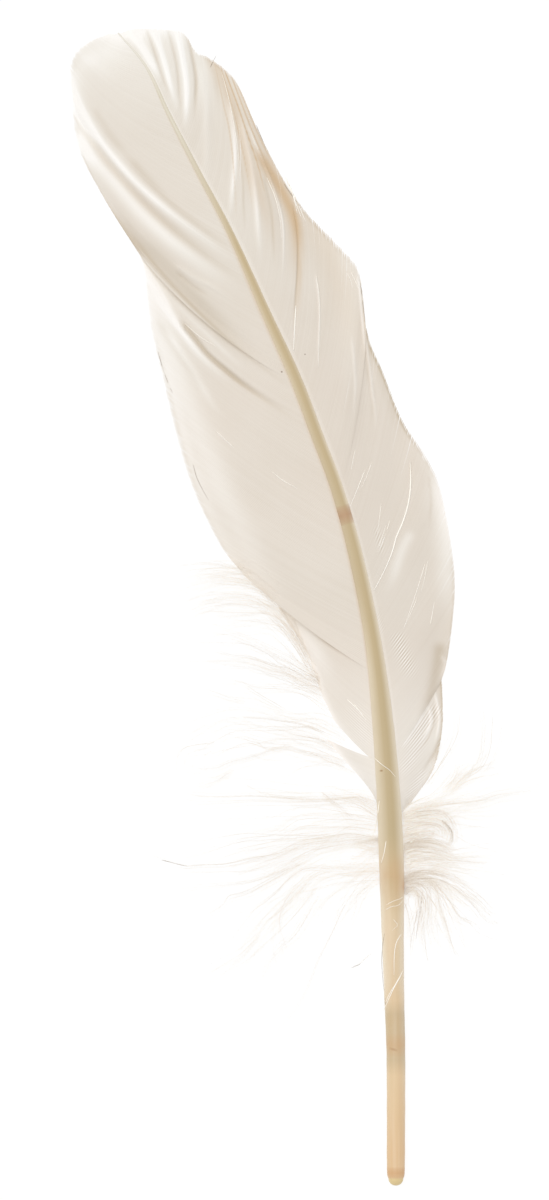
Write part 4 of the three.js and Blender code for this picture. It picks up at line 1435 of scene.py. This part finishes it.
def join_pieces(name, pieces):
    """Joins meshes into one, under one name."""
    bm = bmesh.new()
    for piece in pieces:
        bm.from_mesh(piece.data)
        bpy.data.objects.remove(piece)
    return object_from(bm, name)


def tuft_room(node):
    """The lowest and highest corner that the hairs of a tuft may reach, and as far as the shaft."""
    low, high = (np.array(corner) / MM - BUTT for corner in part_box(node))
    low = low + TUFT_GAP
    high = np.array([high[0] - TUFT_GAP[0], high[1] - TUFT_GAP[1], TUFT_TOP])
    low[0], high[0] = min(low[0], 0), max(high[0], 0)
    return low, high


def build_tuft(name, bundles, node, spacing, barb_radius):
    lines, shades, stoutness = grow_bundles(bundles)
    lines = np.clip(lines, *tuft_room(node))
    radii = rng.uniform(0.7, 1.3, len(lines)) * barb_radius * stoutness
    barbs = strand_mesh(name + "_barbs", lines, radii, LINE_STEPS, shade=shades[:, None])
    roots, ends, owners = grow_barbules(lines, spacing)
    ends = np.clip(ends, *tuft_room(node))
    pale = shades[owners][:, None] * BARBULE_SHADE
    fluff = spike_mesh(name + "_barbules", roots, ends, BARBULE_RADIUS, shade=pale)
    return join_pieces(name, [barbs, fluff])


left_tuft = build_tuft("left_down_barbs", LEFT_DOWN, "left_down", spacing=0.62, barb_radius=0.021)
right_tuft = build_tuft("right_down_barbs", RIGHT_DOWN, "right_down", spacing=0.5, barb_radius=0.028)
print("tufts grown:", left_tuft.name, "and", right_tuft.name)

# %% [markdown]
# ### Down keratin
#
# Down is the same keratin as the webs, but so fine that light passes from hair to hair until the
# whole tuft is filled with it. That would take many bounces to work out, so the hairs get a faint
# even glow of their own instead. Their shade was stored with each hair when it grew.

# %% Down material
DOWN_SHADES = {0: (250, 246, 239), 0.33: (236, 227, 215), 0.67: (205, 189, 166), 1: (148, 131, 108)}
DARKEST_DOWN = 1.5  # the shade at the dark end of the ramp


def down_material():
    material, tree, shader = new_material("down", roughness=0.8, specular=0.1, sheen=0.05)
    shade = rescale(tree, read_attribute(tree, "shade"), 0, DARKEST_DOWN)
    tree.links.new(ramp(tree, shade, DOWN_SHADES), shader.inputs["Base Color"])
    glow(shader, 0.1, 1, 0.95, 0.88)
    return material


down_keratin = down_material()
finish_piece(left_tuft, down_keratin, "down_barbs", "left_down")
finish_piece(right_tuft, down_keratin, "down_barbs", "right_down")

# %% [markdown]
# ## Stray barbs and loose hairs
#
# Some barbs have come unhooked and lie on top of the web, where they catch the light as fine white
# lines, and a few streaks of the down on the right shine in the same way. Pale hairs lie across the
# barrel, and thin dark ones along the torn margin, beside the barrel and on the surface. They are
# strands again, laid on what is under them: a ray dropped from above finds the height.

# %% Strays on the webs and the barrel
# (half width in mm, the line in mm)
STRAY_BARBS = [
    (0.29, [(3.6, 180.7), (3.6, 173.2), (2.2, 167), (0.1, 162), (-0.9, 158.4), (-2.6, 154.2),
        (-5.5, 148.6)]),
    (0.14, [(-7.7, 178.7), (-9.5, 174.2), (-11.5, 169.4)]),
    (0.1, [(-6, 180.7), (-7.2, 177.4), (-8.5, 174.4)]),
    (0.1, [(-10.2, 183.7), (-10.7, 181.2), (-11.2, 178.7)]),
    (0.1, [(-3.7, 170.4), (-4.2, 166.2), (-4.7, 162.4)]),
    (0.12, [(-1.5, 166.2), (-2.5, 162.9), (-4, 158.9)]),
    (0.1, [(-2.5, 164.9), (-3.5, 161.7), (-4.7, 158.2)]),
    (0.1, [(8, 156.2), (7.3, 152.4), (6.3, 148.2)]),
    (0.1, [(5.3, 146.7), (3.8, 143.2), (2, 139.4)]),
    (0.22, [(-25, 219.6), (-25.3, 213.7), (-25.6, 208.1)]),
    (0.13, [(-19.9, 227.1), (-19.1, 219.9), (-19.4, 204.3)]),
    (0.11, [(-12.6, 228.7), (-11.4, 226.5), (-10.8, 224.3)]),
    (0.11, [(-11.1, 228.1), (-10.1, 225.9), (-9.3, 224)]),
    (0.1, [(-43.5, 278.2), (-41.7, 271.2), (-40.2, 263.7), (-39.2, 256.7), (-39, 251.2)]),
    (0.18, [(-26.6, 250.2), (-25.1, 245.8), (-23.6, 241.8)]),
    (0.14, [(-25.5, 247.8), (-24.1, 244.5), (-22.5, 240.8)]),
    (0.16, [(-27.6, 252), (-25.6, 247), (-24.6, 242.8)]),
    (0.13, [(-32.2, 251.7), (-30.2, 246.9), (-29, 241.9), (-28.5, 236.2)]),
    (0.13, [(-44.8, 188.3), (-42.7, 186.3), (-40.5, 184.3)]),
    (0.11, [(-31, 178.2), (-28, 175.9), (-24.6, 174)]),
    (0.11, [(-52.7, 215.3), (-49, 212), (-44.8, 209.5)]),
    (0.16, [(-12.2, 121.4), (-10.4, 119.7), (-8.4, 117.7)]),
    (0.14, [(-10.4, 120.2), (-8.9, 118.2), (-7.5, 116.2)]),
    (0.13, [(8.6, 140.2), (9.1, 142.7), (9.6, 145.7)]),
    (0.2, [(1.8, 93.8), (4.6, 95.7), (8.6, 96.9)]),
    (0.12, [(7.4, 155.6), (5.1, 148.2), (1.9, 139)]),
]
# only the lines: of the streaks on the right down, of the dark hairs and of the pale ones
DOWN_STREAKS = [
    [(2.4, 88.9), (6.9, 90.4), (9.9, 90.8)],
    [(2.4, 87.6), (7, 89), (11.2, 89.9)],
    [(2.4, 86.2), (6.1, 87.9), (10.7, 88.6)],
    [(2.6, 85), (5.5, 86.8), (9, 87.4)],
    [(2.4, 82.1), (6.1, 82.5), (10.7, 81.8)],
    [(2.2, 80.5), (5.4, 80.9), (10, 80.2)],
    [(2.2, 92.2), (6, 93.7), (11, 95.6)],
    [(2.2, 90.6), (6, 91.9), (10.4, 92.2)],
    [(2.3, 83.4), (6, 84.3), (9.6, 83.6)],
]
DARK_HAIRS = [
    [(-46.3, 279.4), (-45.6, 280.9), (-44.9, 282.3)],
    [(-34.9, 265), (-33.6, 261.9), (-32.4, 258.9)],
    [(-27.9, 250.2), (-26.3, 247.8), (-24.8, 245.8), (-23.4, 244.2)],
    [(-8.8, 225.4), (-8.4, 222), (-8, 218.5), (-7.6, 215.5)],
    [(-59.4, 208.2), (-58.2, 204), (-56.9, 200.5), (-55.8, 198)],
    [(-50.6, 180), (-49.8, 177), (-48.4, 174), (-46.8, 171.2)],
    [(-8.8, 55.3), (-9.5, 54.9), (-10.3, 54.6), (-11.1, 54.2)],
    [(-58.5, 81.2), (-56.5, 80.7), (-54.2, 80.1), (-51.9, 79.6)],
    [(-2.9, 63), (-3.3, 60.2), (-3.5, 56.2), (-3.3, 52.2), (-2.9, 48.2), (-2.6, 45.2)],
    [(6.6, 73.4), (6.5, 71.5), (6.1, 68.6), (5.4, 64.1), (5.1, 61.5)],
]
LOOSE_HAIRS = [
    [(-5.5, 106.9), (-3.5, 105.2), (-1.7, 103.9), (-0.2, 102.2)],
    [(1.3, 62.9), (0.2, 61.2), (-0.3, 59.2), (-0.5, 56.2), (-0.5, 52.7)],
    [(1.8, 53.9), (0, 50.7), (-1.7, 47.9), (-3, 44.7)],
    [(1.2, 52.6), (-0.6, 49.4), (-2, 46.3), (-3.1, 43.6)],
    [(-2.8, 68.9), (-1.2, 69.8), (0.6, 70.2), (1.8, 71.4)],
    [(-0.7, 66.7), (0.3, 65.2), (-0.95, 63.9)],
    [(-4.2, 96.2), (-4.5, 93.2), (-5, 89.7), (-6, 86.2), (-6.2, 83.2)],
    [(-2.5, 86.2), (-3, 83.2), (-3.7, 80.7)],
    [(-2.5, 70.2), (-0.7, 71.2), (1.3, 71.9), (2.5, 72.9)],
]

print("strays:", len(STRAY_BARBS), "streaks:", len(DOWN_STREAKS), "hairs:", len(DARK_HAIRS + LOOSE_HAIRS))

# %% Lay them on the feather
STREAK_WIDTH = 0.2  # all widths are half of the full one, in mm
DARK_WIDTH = 0.07
PALE_WIDTH = 0.15
FINER_WIDTHS = {0: 0.11, 4: 0.09, 5: 0.08, 8: 0.09}  # of some pale hairs, by their place in the list
STRAND_RINGS = 20
STRAY_FLATNESS = 0.3  # height of a strand as a share of its width
HAIR_FLATNESS = 0.6
RAY_FROM = 100  # height in mm, well above the feather


def laid_on(pieces, lines, clearance):
    """Adds heights to plan lines, so that they lie on the pieces."""
    trees = []
    for piece in pieces:
        places = [v.co for v in piece.data.vertices]
        trees.append(BVHTree.FromPolygons(places, [f.vertices[:] for f in piece.data.polygons]))
    laid = []
    for points in lines:
        line = smooth_line(points, 9)
        heights = []
        for x, y in line:
            above = Vector(in_metres(x, y, RAY_FROM))
            hits = [t.ray_cast(above, Vector((0, 0, -1)))[0] for t in trees]
            heights.append(max([h.z / MM for h in hits if h] + [0.1]))
        soft = np.convolve(np.pad(heights, 1, mode="edge"), [0.25, 0.5, 0.25], mode="valid")
        laid.append(np.column_stack([line, np.maximum(soft, heights) + clearance]))
    return np.array(laid)


strays = STRAY_BARBS + [(STREAK_WIDTH, points) for points in DOWN_STREAKS]
stray_lines = laid_on([*webs.values(), right_tuft], [points for _, points in strays], 0.05)
stray_widths = np.array([width for width, _ in strays])
stray_barbs = strand_mesh("stray_barbs", stray_lines, stray_widths, STRAND_RINGS, STRAY_FLATNESS, dark=0.0)

hair_lines = laid_on([quill, *webs.values()], LOOSE_HAIRS + DARK_HAIRS, 0.04)
pale_widths = [FINER_WIDTHS.get(i, PALE_WIDTH) for i in range(len(LOOSE_HAIRS))]
widths = np.array(pale_widths + [DARK_WIDTH] * len(DARK_HAIRS))
is_dark = np.array([0.0] * len(LOOSE_HAIRS) + [1.0] * len(DARK_HAIRS))
loose_hairs = strand_mesh(
    "loose_hairs", hair_lines, widths, STRAND_RINGS, HAIR_FLATNESS, dark=is_dark[:, None]
)
print("highest stray, mm:", round(float(stray_lines[..., 2].max()), 2))

# %% [markdown]
# ### White barbs
#
# A single barb that lies free is brighter than the web, because light reaches it from all sides, so
# its material glows very faintly and is whitest at the end. The dark hairs share the mesh of the
# pale ones, and an attribute tells them apart.

# %% White barb material
WHITE_SHADES = {0: (249, 243, 231), 1: (255, 252, 246)}


def white_barb_material():
    material, tree, shader = new_material("white_barb", roughness=0.6, specular=0.2)
    glow(shader, 0.15, 1, 0.97, 0.92)
    bright = ramp(tree, read_attribute(tree, "along"), WHITE_SHADES)
    colour = mix(tree, read_attribute(tree, "dark"), bright, as_seen(120, 98, 70))
    tree.links.new(colour, shader.inputs["Base Color"])
    return material


white_barb = white_barb_material()
finish_piece(stray_barbs, white_barb, "vane_webs")
finish_piece(loose_hairs, white_barb, "down_barbs")

# %% [markdown]
# ## Surface, light and camera
#
# The feather lies on a plain white surface in soft, even light that comes a little stronger from the
# upper left. White paint would show every shadow of the down, so the surface mostly glows by itself
# under a thin grey paint, and the shadows stay faint. The camera looks straight down through a long
# lens, so that nothing leans.

# %% Surface
TABLE_HALF = 3  # metres
TABLE_GAP = 0.0001  # metres below the feather
TABLE_PAINT = 0.15
TABLE_GLOW = 0.88

bm = bmesh.new()
bmesh.ops.create_grid(bm, x_segments=1, y_segments=1, size=TABLE_HALF)
bmesh.ops.translate(bm, verts=bm.verts[:], vec=(0, 0, -TABLE_GAP))
white_table = object_from(bm, "white_table")
table_paint, _, table_shader = new_material("table_paint", roughness=0.9, specular=0.0)
table_shader.inputs["Base Color"].default_value = (TABLE_PAINT, TABLE_PAINT, TABLE_PAINT, 1)
glow(table_shader, TABLE_GLOW, 1, 1, 1)
white_table.data.materials.append(table_paint)
print("the surface is", 2 * TABLE_HALF, "m across")

# %% Light
SKY_STRENGTH = 0.67
WINDOW_STRENGTH = 1.15
WINDOW_SPREAD = 50  # degrees; wide, so that shadows have no edge
WINDOW_FROM = (-0.25, 0.35, 1)

scene = bpy.context.scene
world = bpy.data.worlds.new("even_light")
world.use_nodes = True
sky = world.node_tree.nodes["Background"]
sky.inputs["Color"].default_value = (1, 1, 1, 1)
sky.inputs["Strength"].default_value = SKY_STRENGTH
scene.world = world

window = bpy.data.lights.new("window", "SUN")
window.energy = WINDOW_STRENGTH
window.angle = math.radians(WINDOW_SPREAD)
new_object("window", window).rotation_euler = Vector(WINDOW_FROM).to_track_quat("Z", "Y").to_euler()
print("window light from", WINDOW_FROM)

# %% Camera
VIEW_HEIGHT = 300.0  # what the frame takes in, mm
VIEW_CENTRE = (-30.3, 146.2)  # from the butt, mm
LENS = 200
SENSOR = 36

camera = bpy.data.cameras.new("from_above")
camera.lens = LENS
camera.sensor_width = SENSOR
camera.clip_end = 20
camera_object = new_object("from_above", camera)
camera_object.location = in_metres(*VIEW_CENTRE, VIEW_HEIGHT * LENS / SENSOR)
scene.camera = camera_object
scene.view_settings.view_transform = "Standard"
print("camera above the surface, m:", round(camera_object.location.z, 3))
